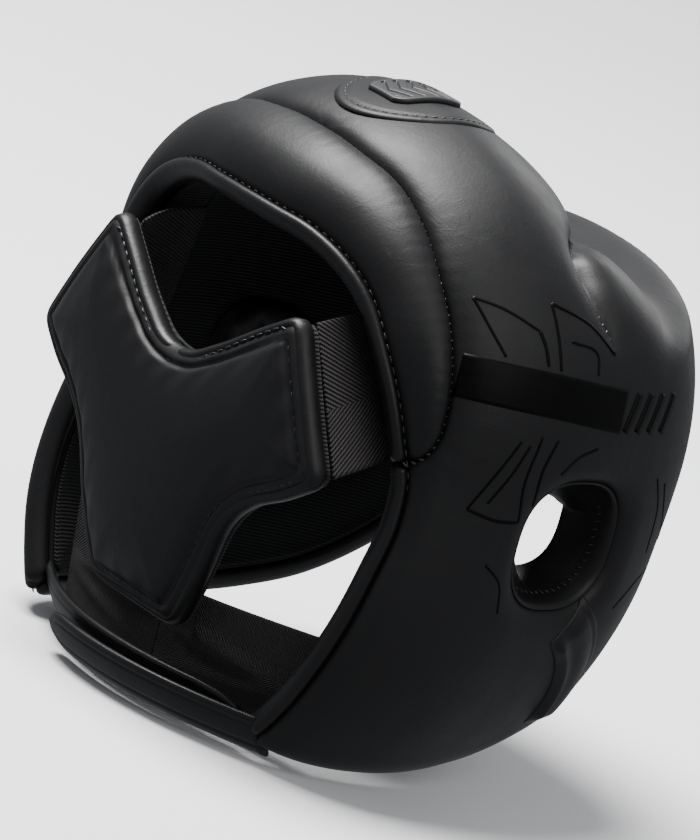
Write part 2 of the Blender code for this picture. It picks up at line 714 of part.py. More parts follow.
def y_pad_mesh(name, shrink, outer_offset, inner_offset, dome, colour, rough):
    """Y-shaped block: a stem of rows, a hub, and two arms, as one welded grid."""
    stem_rows = [(-7.5 + shrink, 2.6 - shrink), (-6.2, 3.3 - shrink), (-4.8, 3.95 - shrink), (-3.0, 4.6 - shrink)]
    columns = [-1.0, -0.5, 0.0, 0.5, 1.0]
    nodes = []
    grid = []
    for z, w in stem_rows:
        grid.append([(c * w, z) for c in columns])
    hub_low = [(-6.1, -1.3), (-3.0, -0.8), (0.0, -0.6), (3.0, -0.8), (6.1, -1.3)]
    grid.append(hub_low)
    hub_high = [(-3.6, 1.2), (-1.7, 1.0), (0.0, 2.2 - shrink), (1.7, 1.0), (3.6, 1.2)]
    faces = []
    points = []

    def add(point):
        points.append(point)
        return len(points) - 1

    rows = [[add(p) for p in row] for row in grid]
    for i in range(len(rows) - 1):
        for j in range(4):
            faces.append((rows[i][j], rows[i][j + 1], rows[i + 1][j + 1], rows[i + 1][j]))
    notch = add((0.0, 2.4 - shrink))
    hub = rows[-1]
    for sign in (-1, 1):
        order = (2, 3, 4) if sign > 0 else (2, 1, 0)
        base = [hub[k] for k in order]
        end_low = (8.95 - shrink, 0.5 + shrink)
        end_high = (5.95 - shrink * 0.8, 5.7 - shrink)
        far = [add((sign * (end_high[0] + (end_low[0] - end_high[0]) * f),
                    end_high[1] + (end_low[1] - end_high[1]) * f)) for f in (0.0, 0.5, 1.0)]
        mid_top = add((sign * 2.9, 3.6 - shrink))
        mid_centre = add((sign * 4.6, 1.7))
        faces.append((base[0], base[1], mid_top, notch))
        faces.append((base[1], mid_centre, far[0], mid_top))
        faces.append((mid_centre, far[1], far[0]))
        faces.append((base[1], base[2], far[2], mid_centre))
        faces.append((mid_centre, far[2], far[1]))
    split = []
    for face in faces:
        split.append((face[0], face[1], face[2]))
        if len(face) == 4:
            split.append((face[0], face[2], face[3]))
    faces = split
    flat = np.array(points)
    outer = np.stack([flat[:, 0], pad_face(flat[:, 0], flat[:, 1]) - outer_offset, flat[:, 1]], -1)
    inner = np.stack([flat[:, 0], pad_face(flat[:, 0], flat[:, 1]) - inner_offset, flat[:, 1]], -1)
    count = len(points)
    solid = list(faces)
    for face in faces:
        solid.append(tuple(reversed([k + count for k in face])))
    edges = {}
    for face in faces:
        for a, b in zip(face, face[1:] + face[:1]):
            key = (min(a, b), max(a, b))
            edges.setdefault(key, []).append((a, b))
    for key, used in edges.items():
        if len(used) == 1:
            a, b = used[0]
            solid.append((b, a, a + count, b + count))
    made = mesh_object(name, np.concatenate([outer, inner]), solid)
    facing_out(made)
    return made


cover = y_pad_mesh("rear_pad_cover", 0.0, 0.0, 0.15, 0.0, black_leather, 0.5)
paint(cover, "rear_pad_cover", black_leather, 0.5)
foam = y_pad_mesh("rear_pad_foam", 0.0, 0.19, 1.41, 0.0, black_foam, 0.9)
paint(foam, "rear_pad_foam", black_foam, 0.9)
backing = y_pad_mesh("rear_pad_backing", 0.0, 1.45, 1.6, 0.0, black_fabric, 0.9)
paint(backing, "rear_pad_backing", black_fabric, 0.9)


def sheet_between(name, left_edge, right_edge, thickness, colour, rough, steps, bow, tail=None):
    """Band between two edges given as pairs of 3-D points, bowed outward, with an optional sewn-in tail."""
    a0, a1 = np.array(left_edge[0]), np.array(left_edge[1])
    b0, b1 = np.array(right_edge[0]), np.array(right_edge[1])
    rows = []
    for t in np.linspace(0, 1, steps):
        start = a0 + (b0 - a0) * t
        stop = a1 + (b1 - a1) * t
        lift = np.array([0.0, bow * 4 * t * (1 - t), 0.0])
        rows.append([start + (stop - start) * f + lift for f in np.linspace(0, 1, 5)])
    if tail is not None:
        c0, c1 = np.array(tail[0]), np.array(tail[1])
        rows.append([c0 + (c1 - c0) * f for f in np.linspace(0, 1, 5)])
    outer = np.array(rows)
    way = outer - head_centre
    inner = outer - way / np.linalg.norm(way, axis=-1)[..., None] * thickness
    made = layer_half(name, outer, inner, False, False)
    facing_out(made)
    paint(made, name, colour, rough)
    return made


def hook_tape():
    x = np.linspace(-2.6, 2.6, 5)
    z = np.array([-7.9, -6.9, -5.9])
    gx, gz = np.meshgrid(x, z)
    return bent_sheet("rear_pad_hook_tape", np.stack([gx, gz], -1), pad_face, 0.25, black_fabric, 0.9, 1.64)


hook_tape()

# ---- elastics: from the arm ends of the rear pad into the shell sides ----
elastic_upper = on_shell(np.array((41.0, 30.5)), -2.4)
elastic_lower = on_shell(np.array((28.0, -3.0)), -2.45)
elastic_tail_upper = on_shell(np.array((36.0, 32.0)), -2.88)
elastic_tail_lower = on_shell(np.array((23.0, -2.0)), -2.88)
elastic_right = sheet_between("elastic_right", ((-5.75, 9.5, 5.45), (-8.65, 9.05, 0.75)),
                              (elastic_upper, elastic_lower), 0.16, black_fabric, 0.85, 5, 0.15,
                              (elastic_tail_upper, elastic_tail_lower))
twin = other_side(elastic_right, "elastic_left")
paint(twin, "elastic_left", black_fabric, 0.85)


# ---- neck flaps ----
def flap_band(name, x_start, x_end, z_top, z_bottom, depth, thickness, inset, colour, rough, tip):
    """Neck band across the back: bends round the neck, leans in at the bottom, round at its free end."""
    steps = 13
    across = 4
    t = np.linspace(0, 1, steps)
    x = x_start + (x_end - x_start) * t
    rows = []
    for i in range(steps):
        narrow = math.sqrt(max(0.0, 1 - max(0.0, (t[i] - 0.86) / 0.14) ** 2)) if tip else 1.0
        narrow = max(narrow, 0.35)
        middle_z = (z_top + z_bottom) / 2
        half = (z_top - z_bottom) / 2 * narrow - inset
        rows.append([(x[i], middle_z + half * f) for f in np.linspace(-1, 1, across)])
    flat = np.array(rows)
    if inset > 0:
        flat[0, :, 0] = flat[0, :, 0] + inset * np.sign(x_end - x_start)
        flat[-1, :, 0] = flat[-1, :, 0] - inset * np.sign(x_end - x_start)
    lean = (z_top - flat[..., 1]) * 0.6
    face = depth - 0.045 * flat[..., 0] ** 2 - lean
    outer = np.stack([flat[..., 0], face, flat[..., 1]], -1)
    inner = np.stack([flat[..., 0], face - thickness, flat[..., 1]], -1)
    made = layer_half(name, outer, inner, False, False)
    facing_out(made)
    paint(made, name, colour, rough)
    return made


flap_band("flap_right_cover", -6.9, 3.3, -9.0, -10.4, 11.20, 0.15, 0.0, black_leather, 0.5, True)
flap_band("flap_right_foam", -6.9, 3.3, -9.0, -10.4, 11.01, 0.36, 0.12, black_foam, 0.9, True)
flap_band("flap_right_hook", -6.9, 3.3, -9.0, -10.4, 10.61, 0.11, 0.0, black_fabric, 0.9, True)
flap_band("flap_left_cover", 6.9, -6.3, -8.7, -10.1, 10.45, 0.15, 0.0, black_leather, 0.5, True)
flap_band("flap_left_foam", 6.9, -6.3, -8.7, -10.1, 10.26, 0.36, 0.12, black_foam, 0.9, True)
flap_band("flap_left_backing", 6.9, -6.3, -8.7, -10.1, 9.86, 0.11, 0.0, black_fabric, 0.9, True)

# ---- fabric neck straps inside the rear edges ----
strap_upper = on_shell(np.array((24.5, -41.5)), -2.8)
strap_lower = on_shell(np.array((24.5, -51.0)), -2.8)
strap = sheet_between("neck_strap_right", ((-0.4, 7.75, -6.8), (-0.4, 7.75, -9.1)),
                      (strap_upper, strap_lower), 0.18, black_fabric, 0.9, 7, 0.35)
twin = other_side(strap, "neck_strap_left")
paint(twin, "neck_strap_left", black_fabric, 0.9)

# ---- joint axes: each moving node's origin stands on its own hinge line ----
hinge_right = (-7.1 * cm, 8.4 * cm, -9.7 * cm)
pad_hinge = (0.0, 9.5 * cm, 5.3 * cm)


def move_origin(name, place):
    ob = bpy.data.objects[name]
    for vertex in ob.data.vertices:
        vertex.co.x -= place[0]
        vertex.co.y -= place[1]
        vertex.co.z -= place[2]
    ob.location = place


for name in ("flap_right_cover", "flap_right_foam", "flap_right_hook"):
    move_origin(name, hinge_right)
for name in ("rear_pad_cover", "rear_pad_foam", "rear_pad_backing", "rear_pad_hook_tape"):
    move_origin(name, pad_hinge)
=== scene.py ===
import math

import bmesh
import bpy
import numpy as np
from mathutils import Matrix, Vector


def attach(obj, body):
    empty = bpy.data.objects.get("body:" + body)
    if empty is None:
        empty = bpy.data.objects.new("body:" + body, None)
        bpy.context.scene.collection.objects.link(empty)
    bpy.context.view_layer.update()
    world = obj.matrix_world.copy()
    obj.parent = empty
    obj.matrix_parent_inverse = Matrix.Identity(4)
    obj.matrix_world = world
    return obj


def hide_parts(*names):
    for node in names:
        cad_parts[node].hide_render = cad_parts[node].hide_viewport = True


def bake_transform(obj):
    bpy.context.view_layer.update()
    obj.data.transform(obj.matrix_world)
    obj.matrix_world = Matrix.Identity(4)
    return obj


bl_info = {
    "name": "Boxing headgear",
    "version": (1, 0, 0),
    "blender": (4, 5, 0),
    "location": "3D View > Sidebar > Headgear",
    "description": "Makes the skins, seams, straps and closure of a padded boxing headgear round its frame",
    "category": "Add Mesh",
}

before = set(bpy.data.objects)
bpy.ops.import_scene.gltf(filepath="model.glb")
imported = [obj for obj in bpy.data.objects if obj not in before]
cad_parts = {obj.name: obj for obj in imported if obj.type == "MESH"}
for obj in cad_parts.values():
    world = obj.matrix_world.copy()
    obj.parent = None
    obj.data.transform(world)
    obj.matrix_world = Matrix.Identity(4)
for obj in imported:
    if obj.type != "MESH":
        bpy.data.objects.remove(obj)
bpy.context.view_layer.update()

CM = 0.01
HALF_TURN = math.pi
ON_MIDDLE = 1e-7

# ---- the head form, in centimetres and degrees, as the frame has it ----
HEAD_CENTRE = np.array([0.0, 2.0, 2.0])
HALF_WIDTH = 11.5
DEPTH_FRONT = 11.0
DEPTH_REAR = 10.4
HEIGHT_UP = 11.2
HEIGHT_DOWN = 17.5
ROUNDNESS = 2.15
BROW_FULLNESS = 0.075
CROWN_FALL = 0.19
NAPE_FULLNESS = 1.5
JAW_FULLNESS = 0.5
EAR_CENTRE = (-13.3, -10.8)
EAR_HALF_REARWARD = 13.8
EAR_HALF_UPWARD = 12.8
EAR_SQUARENESS = 2.5
THICKNESS = 2.5
EDGE_INSIDE = 1.75


def middle(angle):
    """Side-map place on the middle plane at an angle measured from straight back, upward."""
    return (90.0 * math.cos(math.radians(angle)), 90.0 * math.sin(math.radians(angle)))


ARCH = [middle(40.0), (61.2, 51.8), (53, 46.2), (45.5, 39), (40, 31), (36, 21), (32, 11), (29, 3), (27.4,
    -1)]
SEAM = [middle(60.0), (42.0, 73), (38, 66), (32.6, 58), (29, 48), (26.5, 37), (24, 26), (22.7, 16), (22.6,
    7)]
SEAM_END = [(22.6, 7), (23.4, 3.5), (25.2, 0.5), (27.4, -1)]
REAR = [(27.6, -54), (27.2, -47), (27, -40), (26.5, -31), (26, -22.5), (25.2, -13), (26, -5), (27.4, -1)]
BOTTOM = [(27.6, -54), (12, -52.5), (-3, -52.5), (-16, -51.8), (-30, -48.5), (-43, -42), (-52, -35)]
FACE = [(-52, -35), (-60, -26), (-59, -15), (-51, -7), (-51, 1), (-62, 6.5), (-76, 10), middle(172)]
DART = [middle(133), (-50, 60), (-34, 56), (-19, 52.5), (-11, 47), (-9.8, 41), (-10.3, 35), (-12.5, 29)]
JAW_BAND = [(-19.5, -24.5), (-24, -29), (-27, -34.5), (-28, -40), (-27, -45)]


def srgb(code):
    """Linear colour with alpha from a six-digit sRGB hex value."""
    parts = [int(code[i:i + 2], 16) / 255.0 for i in (0, 2, 4)]
    linear = [c / 12.92 if c <= 0.04045 else ((c + 0.055) / 1.055) ** 2.4 for c in parts]
    return (*linear, 1.0)


# ---- curves and maps ----


def smooth_curve(points, count):
    """Cubic Hermite curve through the points with slopes from their neighbours, at even steps of length."""
    knots = np.array(points, float)
    chord = np.r_[0.0, np.cumsum(np.linalg.norm(np.diff(knots, axis=0), axis=1) ** 0.5)]
    slope = np.gradient(knots, chord, axis=0)
    fine = np.linspace(0.0, chord[-1], 1200)
    left = np.clip(np.searchsorted(chord, fine, side="right") - 1, 0, len(chord) - 2)
    step = (chord[left + 1] - chord[left])[:, None]
    t = (fine - chord[left])[:, None] / step
    curve = (2 * t ** 3 - 3 * t ** 2 + 1) * knots[left] + (t ** 3 - 2 * t ** 2 + t) * step * slope[left]
    curve = curve + (3 * t ** 2 - 2 * t ** 3) * knots[left + 1] + (t ** 3 - t ** 2) * step * slope[left + 1]
    return even_steps(curve, count)


def even_steps(curve, count):
    """The same polyline with its points at even steps of length."""
    length = np.r_[0.0, np.cumsum(np.linalg.norm(np.diff(curve, axis=0), axis=1))]
    wanted = np.linspace(0.0, length[-1], count)
    return np.stack([np.interp(wanted, length, curve[:, k]) for k in range(curve.shape[1])], -1)


def at(curve, fraction):
    """Points of a finely sampled curve at fractions 0..1 of its length."""
    place = np.clip(np.asarray(fraction, float), 0.0, 1.0) * (len(curve) - 1)
    low = np.floor(place).astype(int)
    high = np.minimum(low + 1, len(curve) - 1)
    part = (place - low)[..., None]
    return curve[low] * (1 - part) + curve[high] * part


def direction(side):
    """Unit direction from the head centre: polar angle off the right ear axis, turned from rear to up."""
    away = np.radians(np.hypot(side[..., 0], side[..., 1]))
    turn = np.arctan2(side[..., 1], side[..., 0])
    x = np.where(np.abs(away - HALF_TURN / 2) < 2e-4, 0.0, -np.cos(away))
    return np.stack([x, np.sin(away) * np.cos(turn), np.sin(away) * np.sin(turn)], -1)


def rise(value, low, high):
    """Smooth step from nought at low to one at high."""
    t = np.clip((value - low) / (high - low), 0.0, 1.0)
    return t * t * (3 - 2 * t)


def head_radius(side):
    """Radius of the head form: a superellipsoid, fuller at the brow and lower before the dart."""
    way = direction(side)
    depth = np.where(way[..., 1] < 0, DEPTH_FRONT, DEPTH_REAR)
    height = np.where(way[..., 2] > 0, HEIGHT_UP, HEIGHT_DOWN)
    total = np.abs(way[..., 0] / HALF_WIDTH) ** ROUNDNESS
    total = total + np.abs(way[..., 1] / depth) ** ROUNDNESS + np.abs(way[..., 2] / height) ** ROUNDNESS
    away = np.hypot(side[..., 0], side[..., 1])
    turn = np.degrees(np.arctan2(side[..., 1], side[..., 0]))
    front = rise(-way[..., 1], 0.05, 0.75) * rise(away, 10, 45) * rise(way[..., 2], -0.85, -0.25)
    before_dart = rise(turn, 80, 128) * (1 - rise(turn, 133.5, 146)) * rise(away, 34, 70)
    nape = rise(-side[..., 1], 0, 45) * rise(side[..., 0], -25, 25)
    jaw = rise(-side[..., 1], 10, 45) * (1 - rise(side[..., 0], -40, -5))
    plain = total ** (-1.0 / ROUNDNESS) * (1 + BROW_FULLNESS * front - CROWN_FALL * before_dart)
    return plain + NAPE_FULLNESS * nape + JAW_FULLNESS * jaw


def on_shell(side, lift):
    """Head centre plus direction times radius plus lift, in centimetres."""
    side = np.asarray(side, float)
    return HEAD_CENTRE + direction(side) * (head_radius(side) + np.asarray(lift, float))[..., None]


def to_side(points):
    """Side-map place of points in centimetres."""
    way = points - HEAD_CENTRE
    way = way / np.linalg.norm(way, axis=-1)[..., None]
    away = np.degrees(np.arccos(np.clip(-way[..., 0], -1, 1)))
    turn = np.arctan2(way[..., 2], way[..., 1])
    return np.stack([away * np.cos(turn), away * np.sin(turn)], -1)


def nearest(side, curves):
    """Distance in centimetres to the nearest of the curves on the head form, and the length along it."""
    points = on_shell(side, 0.0).reshape(-1, 3).astype(np.float32)
    lines = []
    alongs = []
    for curve in curves:
        line = on_shell(smooth_curve(curve, 260), 0.0)
        lines.append(line)
        alongs.append(np.r_[0.0, np.cumsum(np.linalg.norm(np.diff(line, axis=0), axis=1))])
    line = np.concatenate(lines).astype(np.float32)
    along = np.concatenate(alongs)
    best = np.empty(len(points))
    where = np.empty(len(points))
    for start in range(0, len(points), 4000):
        piece = points[start:start + 4000]
        gap = ((piece[:, None, :] - line[None, :, :]) ** 2).sum(axis=2)
        pick = gap.argmin(axis=1)
        best[start:start + 4000] = np.sqrt(gap[np.arange(len(piece)), pick])
        where[start:start + 4000] = along[pick]
    return best.reshape(side.shape[:-1]), where.reshape(side.shape[:-1])


def coons(edges, u, v):
    """Coons patch: both ruled surfaces between opposite edges, less the bilinear one of the corners."""
    bottom, top, rear, front = edges
    u1 = u[..., None]
    v1 = v[..., None]
    across = (1 - v1) * at(bottom, u) + v1 * at(top, u)
    along = (1 - u1) * at(rear, v) + u1 * at(front, v)
    corner = (1 - u1) * (1 - v1) * bottom[0] + u1 * (1 - v1) * bottom[-1]
    return across + along - corner - (1 - u1) * v1 * top[0] - u1 * v1 * top[-1]


def main_edges():
    """The four edges of the right half of the main skin in the side map."""
    bottom = smooth_curve(BOTTOM, 800)
    angles = np.radians(np.linspace(59.5, 172, 800))
    top = 90.0 * np.stack([np.cos(angles), np.sin(angles)], -1)
    upper = smooth_curve(SEAM, 600)[::-1]
    link = smooth_curve(SEAM_END, 120)[::-1]
    lower = smooth_curve(REAR, 480)
    rear = even_steps(np.concatenate([lower, link[1:], upper[1:]]), 800)
    front = smooth_curve(FACE, 800)
    return bottom, top, rear, front


def rim_value(side):
    """Below one inside the ear opening, a squared-off ellipse in the side map."""
    a = np.abs((side[..., 0] - EAR_CENTRE[0]) / EAR_HALF_REARWARD) ** EAR_SQUARENESS
    b = np.abs((side[..., 1] - EAR_CENTRE[1]) / EAR_HALF_UPWARD) ** EAR_SQUARENESS
    return a + b


def rim_loop(count, grow):
    """Side-map points round the ear opening, grown or shrunk by a factor."""
    angle = np.linspace(0.0, 2 * HALF_TURN, count, endpoint=False)
    way = np.stack([np.cos(angle), np.sin(angle)], -1)
    total = np.abs(way[:, 0] / EAR_HALF_REARWARD) ** EAR_SQUARENESS
    total = total + np.abs(way[:, 1] / EAR_HALF_UPWARD) ** EAR_SQUARENESS
    return np.array(EAR_CENTRE) + way * (total ** (-1.0 / EAR_SQUARENESS) * grow)[:, None]


def main_side_grid(counts, rings):
    """Side-map grid in rings round the ear opening: rows from the rim outward, columns round it."""
    edges = main_edges()
    centre = np.array([0.5, 0.5])
    for _ in range(60):
        here = coons(edges, centre[0:1], centre[1:2])[0]
        du = coons(edges, centre[0:1] + 1e-3, centre[1:2])[0] - here
        dv = coons(edges, centre[0:1], centre[1:2] + 1e-3)[0] - here
        centre = centre + 0.6 * np.linalg.solve(np.stack([du, dv], -1) / 1e-3, np.array(EAR_CENTRE) - here)
        centre = np.clip(centre, 0.05, 0.95)
    low_u = np.linspace(0.0, 1.0, counts[0], endpoint=False)
    low_v = np.linspace(0.0, 1.0, counts[1], endpoint=False)
    high_u = np.linspace(1.0, 0.0, counts[2], endpoint=False)
    high_v = np.linspace(1.0, 0.0, counts[3], endpoint=False)
    u = np.concatenate([low_u, np.ones(counts[1]), high_u, np.zeros(counts[3])])
    v = np.concatenate([np.zeros(counts[0]), low_v, np.ones(counts[2]), high_v])
    way = np.stack([u, v], -1) - centre
    low = np.zeros(len(way))
    high = np.ones(len(way))
    for _ in range(40):
        half = (low + high) / 2
        inside = rim_value(coons(edges, centre[0] + half * way[:, 0], centre[1] + half * way[:, 1])) < 1.0
        low = np.where(inside, half, low)
        high = np.where(inside, high, half)
    steps = np.linspace(0.0, 1.0, rings)[:, None]
    steps = 0.6 * steps + 0.4 * (3 * steps ** 2 - 2 * steps ** 3)
    span = high[None, :] + (1.0 - high)[None, :] * steps
    u = np.clip(centre[0] + span * way[None, :, 0], 0.0, 1.0)
    v = np.clip(centre[1] + span * way[None, :, 1], 0.0, 1.0)
    side = coons(edges, u, v)
    on_middle = v[-1] > 1 - 1e-7
    side[-1, on_middle] *= (90.0 / np.hypot(side[-1, on_middle, 0], side[-1, on_middle, 1]))[:, None]
    return side


# ---- surface relief, in centimetres ----


def quarter_round(gap, radius):
    """One at the edge falling to nothing a radius inward, along a quarter circle."""
    t = np.clip(1 - gap / radius, 0.0, 1.0)
    return 1 - np.sqrt(np.clip(1 - t * t, 0.0, 1.0))


def puckers(gap, along, reach, pitch):
    """Small gathers across a sewn line: a wave along it that dies away from it."""
    wave = np.sin(along * 2 * HALF_TURN / pitch) + 0.6 * np.sin(along * 2 * HALF_TURN / (pitch * 0.618) + 1.3)
    return wave * np.exp(-gap / reach) * (1 - np.exp(-gap / 0.08))


def main_relief(side, sizes):
    """Edges rounded down, crescent seam valley, deep dart, rim turned in, and gathers at each seam."""
    edge_gap, _ = nearest(side, [REAR, BOTTOM, FACE])
    lift = -0.62 * quarter_round(edge_gap, 1.25) - 0.10 * np.exp(-edge_gap / 0.12)
    seam_gap, seam_along = nearest(side, [SEAM, SEAM_END])
    lift = lift - sizes.seam_depth / CM * np.exp(-seam_gap / 0.5) - 0.16 * np.exp(-seam_gap / 0.13)
    lift = lift - 0.12 * np.exp(-seam_gap / 1.1)
    lift = lift + 0.016 * puckers(seam_gap, seam_along, 0.55, 0.62)
    dart_gap, dart_along = nearest(side, [DART])
    away = np.hypot(side[..., 0], side[..., 1])
    lift = lift - 0.95 * np.exp(-dart_gap / 0.65) * rise(away, 27, 46)
    lift = lift - 0.20 * np.exp(-dart_gap / 0.15) * rise(away, 27, 34)
    lift = lift + 0.03 * puckers(dart_gap, dart_along, 0.7, 0.55) * rise(away, 28, 40)
    rim_gap = (rim_value(side) ** (1 / EAR_SQUARENESS) - 1) * 2.9
    lift = lift - 0.42 * quarter_round(np.maximum(rim_gap, 0.0), 1.0)
    return np.maximum(lift, -1.2)


def main_inner(side):
    """Full padding thickness, thinner at every open edge."""
    gap, _ = nearest(side, [REAR, BOTTOM, FACE])
    return -THICKNESS + (THICKNESS - EDGE_INSIDE) * np.exp(-(gap / 1.2) ** 2)


# ---- meshes ----


def grid_faces(rows, columns, wrap_rows=False, wrap_columns=False):
    """Four-sided faces of a grid of points, as an index array."""
    i = np.arange(rows if wrap_rows else rows - 1)[:, None]
    j = np.arange(columns if wrap_columns else columns - 1)[None, :]
    i2 = (i + 1) % rows
    j2 = (j + 1) % columns
    a = i * columns + j
    b = i * columns + j2
    c = i2 * columns + j2
    d = i2 * columns + j
    return np.stack([a + 0 * b, b + 0 * a, c, d], -1).reshape(-1, 4)


def signed_volume(points, faces):
    """Six times the volume inside the faces, positive where they point outward."""
    a = points[faces[:, 0]]
    total = 0.0
    for k in range(1, faces.shape[1] - 1):
        total += np.einsum("ij,ij->i", a, np.cross(points[faces[:, k]], points[faces[:, k + 1]])).sum()
    return total


def make_piece(name, points, faces, key, uv=None, outward=True):
    """Mesh object from points in centimetres and index arrays of faces, in the finish of that key."""
    points = np.asarray(points, float) * CM
    lists = faces if isinstance(faces, list) else [faces]
    if outward and sum(signed_volume(points, f) for f in lists) < 0:
        lists = [f[:, ::-1] for f in lists]
    mesh = bpy.data.meshes.new(name)
    mesh.from_pydata(points, [], [tuple(row) for f in lists for row in f.tolist()])
    if uv is not None:
        layer = mesh.uv_layers.new(name="surface")
        index = np.empty(len(mesh.loops), dtype=np.int32)
        mesh.loops.foreach_get("vertex_index", index)
        layer.data.foreach_set("uv", np.asarray(uv, float)[index].reshape(-1))
    mesh.polygons.foreach_set("use_smooth", np.ones(len(mesh.polygons), dtype=bool))
    mesh.update()
    piece = bpy.data.objects.new(name, mesh)
    bpy.context.scene.collection.objects.link(piece)
    mesh.materials.append(finish_of(key))
    if not outward:
        fix_normals(piece)
    return piece


def fix_normals(piece):
    """Merges doubled points and turns every face outward."""
    work = bmesh.new()
    work.from_mesh(piece.data)
    bmesh.ops.remove_doubles(work, verts=work.verts, dist=ON_MIDDLE)
    bmesh.ops.recalc_face_normals(work, faces=work.faces)
    work.to_mesh(piece.data)
    work.free()


def shell_between(outer, inner, wrap, skip_middle):
    """Points and faces of a closed solid between two like grids; walls close every free edge."""
    rows, columns = outer.shape[:2]
    count = rows * columns
    points = np.concatenate([outer.reshape(-1, 3), inner.reshape(-1, 3)])
    skin = grid_faces(rows, columns, wrap_columns=wrap)
    faces = [skin, skin[:, ::-1] + count]
    loops = [np.arange(columns), (rows - 1) * columns + np.arange(columns)]
    edges = []
    for number, loop in enumerate(loops):
        if wrap:
            loop = np.r_[loop, loop[0]]
        pair = np.stack([loop[:-1], loop[1:]], -1)
        edges.append(pair if number else pair[:, ::-1])
    if not wrap:
        left = np.arange(rows) * columns
        right = left + columns - 1
        edges.append(np.stack([left[:-1], left[1:]], -1))
        edges.append(np.stack([right[1:], right[:-1]], -1))
    pair = np.concatenate(edges)
    if skip_middle:
        on_middle = np.abs(points[:count, 0]) < ON_MIDDLE
        pair = pair[~(on_middle[pair[:, 0]] & on_middle[pair[:, 1]])]
    walls = np.stack([pair[:, 0], pair[:, 1], pair[:, 1] + count, pair[:, 0] + count], -1)
    faces.append(walls)
    return points, np.concatenate(faces)


def with_mirror(points, faces):
    """The half and its reflection in the middle plane, sharing the points on that plane."""
    on_middle = np.abs(points[:, 0]) < ON_MIDDLE
    twin_number = np.cumsum(~on_middle) - 1 + len(points)
    mapped = np.where(on_middle, np.arange(len(points)), twin_number)
    return np.concatenate([points, reflected(points[~on_middle])]), np.concatenate([faces, mapped[faces][:,
        ::-1]])


def reflected(points):
    """The points on the other side of the middle plane."""
    return points * np.array([-1.0, 1.0, 1.0])


def unchanged(points):
    """The points as they are, for the right side."""
    return points


SIDES = (("right", unchanged), ("left", reflected))


def path_frames(path, out):
    """Unit tangent, outward and sideways vectors at each point of a path."""
    tangent = np.gradient(path, axis=0)
    tangent = tangent / np.linalg.norm(tangent, axis=1)[:, None]
    out = out - tangent * np.einsum("ij,ij->i", out, tangent)[:, None]
    out = out / np.linalg.norm(out, axis=1)[:, None]
    return tangent, out, np.cross(tangent, out)


def tube(path, out, half_up, half_across, around=16):
    """An oval profile carried along a path, half_up outward and half_across beside it, with rounded ends."""
    _, up, side = path_frames(path, out)
    angle = np.linspace(0, 2 * HALF_TURN, around, endpoint=False)
    step = np.minimum(np.arange(len(path)), np.arange(len(path))[::-1])
    scale = np.sqrt(np.clip(1 - (1 - np.clip(step / 3.0, 0, 1)) ** 2, 0.02, 1.0))
    ring = up[:, None, :] * (np.cos(angle) * half_up)[None, :, None]
    ring = ring + side[:, None, :] * (np.sin(angle) * half_across)[None, :, None]
    points = (path[:, None, :] + ring * scale[:, None, None]).reshape(-1, 3)
    faces = grid_faces(len(path), around, wrap_columns=True)
    count = len(points)
    first = np.arange(around)
    last = (len(path) - 1) * around + first
    start_cap = np.stack([np.full(around, count), np.roll(first, -1), first], -1)
    end_cap = np.stack([np.full(around, count + 1), last, np.roll(last, -1)], -1)
    return np.concatenate([points, path[:1], path[-1:]]), [faces, start_cap, end_cap]


def beads(places, tangent, up, side, length, width, height, turn=0.0):
    """Stitches: one small rounded thread loop repeated at each place, turned about the outward side."""
    rings = 5
    around = 6
    t = np.linspace(-1, 1, rings)
    fat = np.sqrt(np.clip(1 - t ** 2 * 0.96, 0.0, 1.0))
    angle = np.linspace(0, 2 * HALF_TURN, around, endpoint=False)
    local = np.stack([np.repeat(t, around) * length / 2,
                      np.outer(fat, np.sin(angle)).ravel() * width / 2,
                      np.outer(fat, np.cos(angle)).ravel() * height / 2 - np.repeat(t ** 2,
                          around) * height * 0.5], -1)
    cosine = math.cos(turn)
    sine = math.sin(turn)
    along = tangent * cosine + side * sine
    across = side * cosine - tangent * sine
    world = places[:, None, :] + along[:, None, :] * local[None, :, 0:1] + across[:, None, :] * local[None,
        :, 1:2]
    world = world + up[:, None, :] * local[None, :, 2:3]
    faces = grid_faces(rings, around, wrap_columns=True)
    cap = np.array([[0, 1, 2, 3], [0, 3, 4, 5]])
    top = (rings - 1) * around + cap
    single = np.concatenate([faces, cap[:, ::-1], top])
    shift = (np.arange(len(places)) * rings * around)[:, None, None]
    return world.reshape(-1, 3), (single[None] + shift).reshape(-1, 4)


# ---- materials ----


def add(tree, kind, settings=None, links=None):
    """Adds one node, sets its properties and inputs, and links its inputs from other nodes' outputs."""
    made = tree.nodes.new(kind)
    for key, value in (settings or {}).items():
        if isinstance(key, int) or key in made.inputs:
            made.inputs[key].default_value = value
        else:
            setattr(made, key, value)
    for key, source in (links or {}).items():
        tree.links.new(source, made.inputs[key])
    return made


def begin_material(name):
    """A new material with its node tree, its Principled shader and its object coordinates."""
    mat = bpy.data.materials.new(name)
    mat.use_nodes = True
    place = add(mat.node_tree, "ShaderNodeTexCoord")
    return mat, mat.node_tree, mat.node_tree.nodes["Principled BSDF"], place.outputs["Object"]


def colour_between(tree, shader, dark, light, factor):
    """Base colour from one colour to another as the factor goes from nought to one."""
    mix = add(tree, "ShaderNodeMix", {"data_type": "RGBA", 6: dark, 7: light}, {0: factor})
    tree.links.new(mix.outputs[2], shader.inputs["Base Color"])


def emboss(tree, shader, height, strength, distance, invert=False):
    """Fine relief from a height; distance is its depth in metres."""
    bump = add(tree, "ShaderNodeBump", {"Strength": strength, "Distance": distance, "invert": invert},
               {"Height": height})
    tree.links.new(bump.outputs["Normal"], shader.inputs["Normal"])


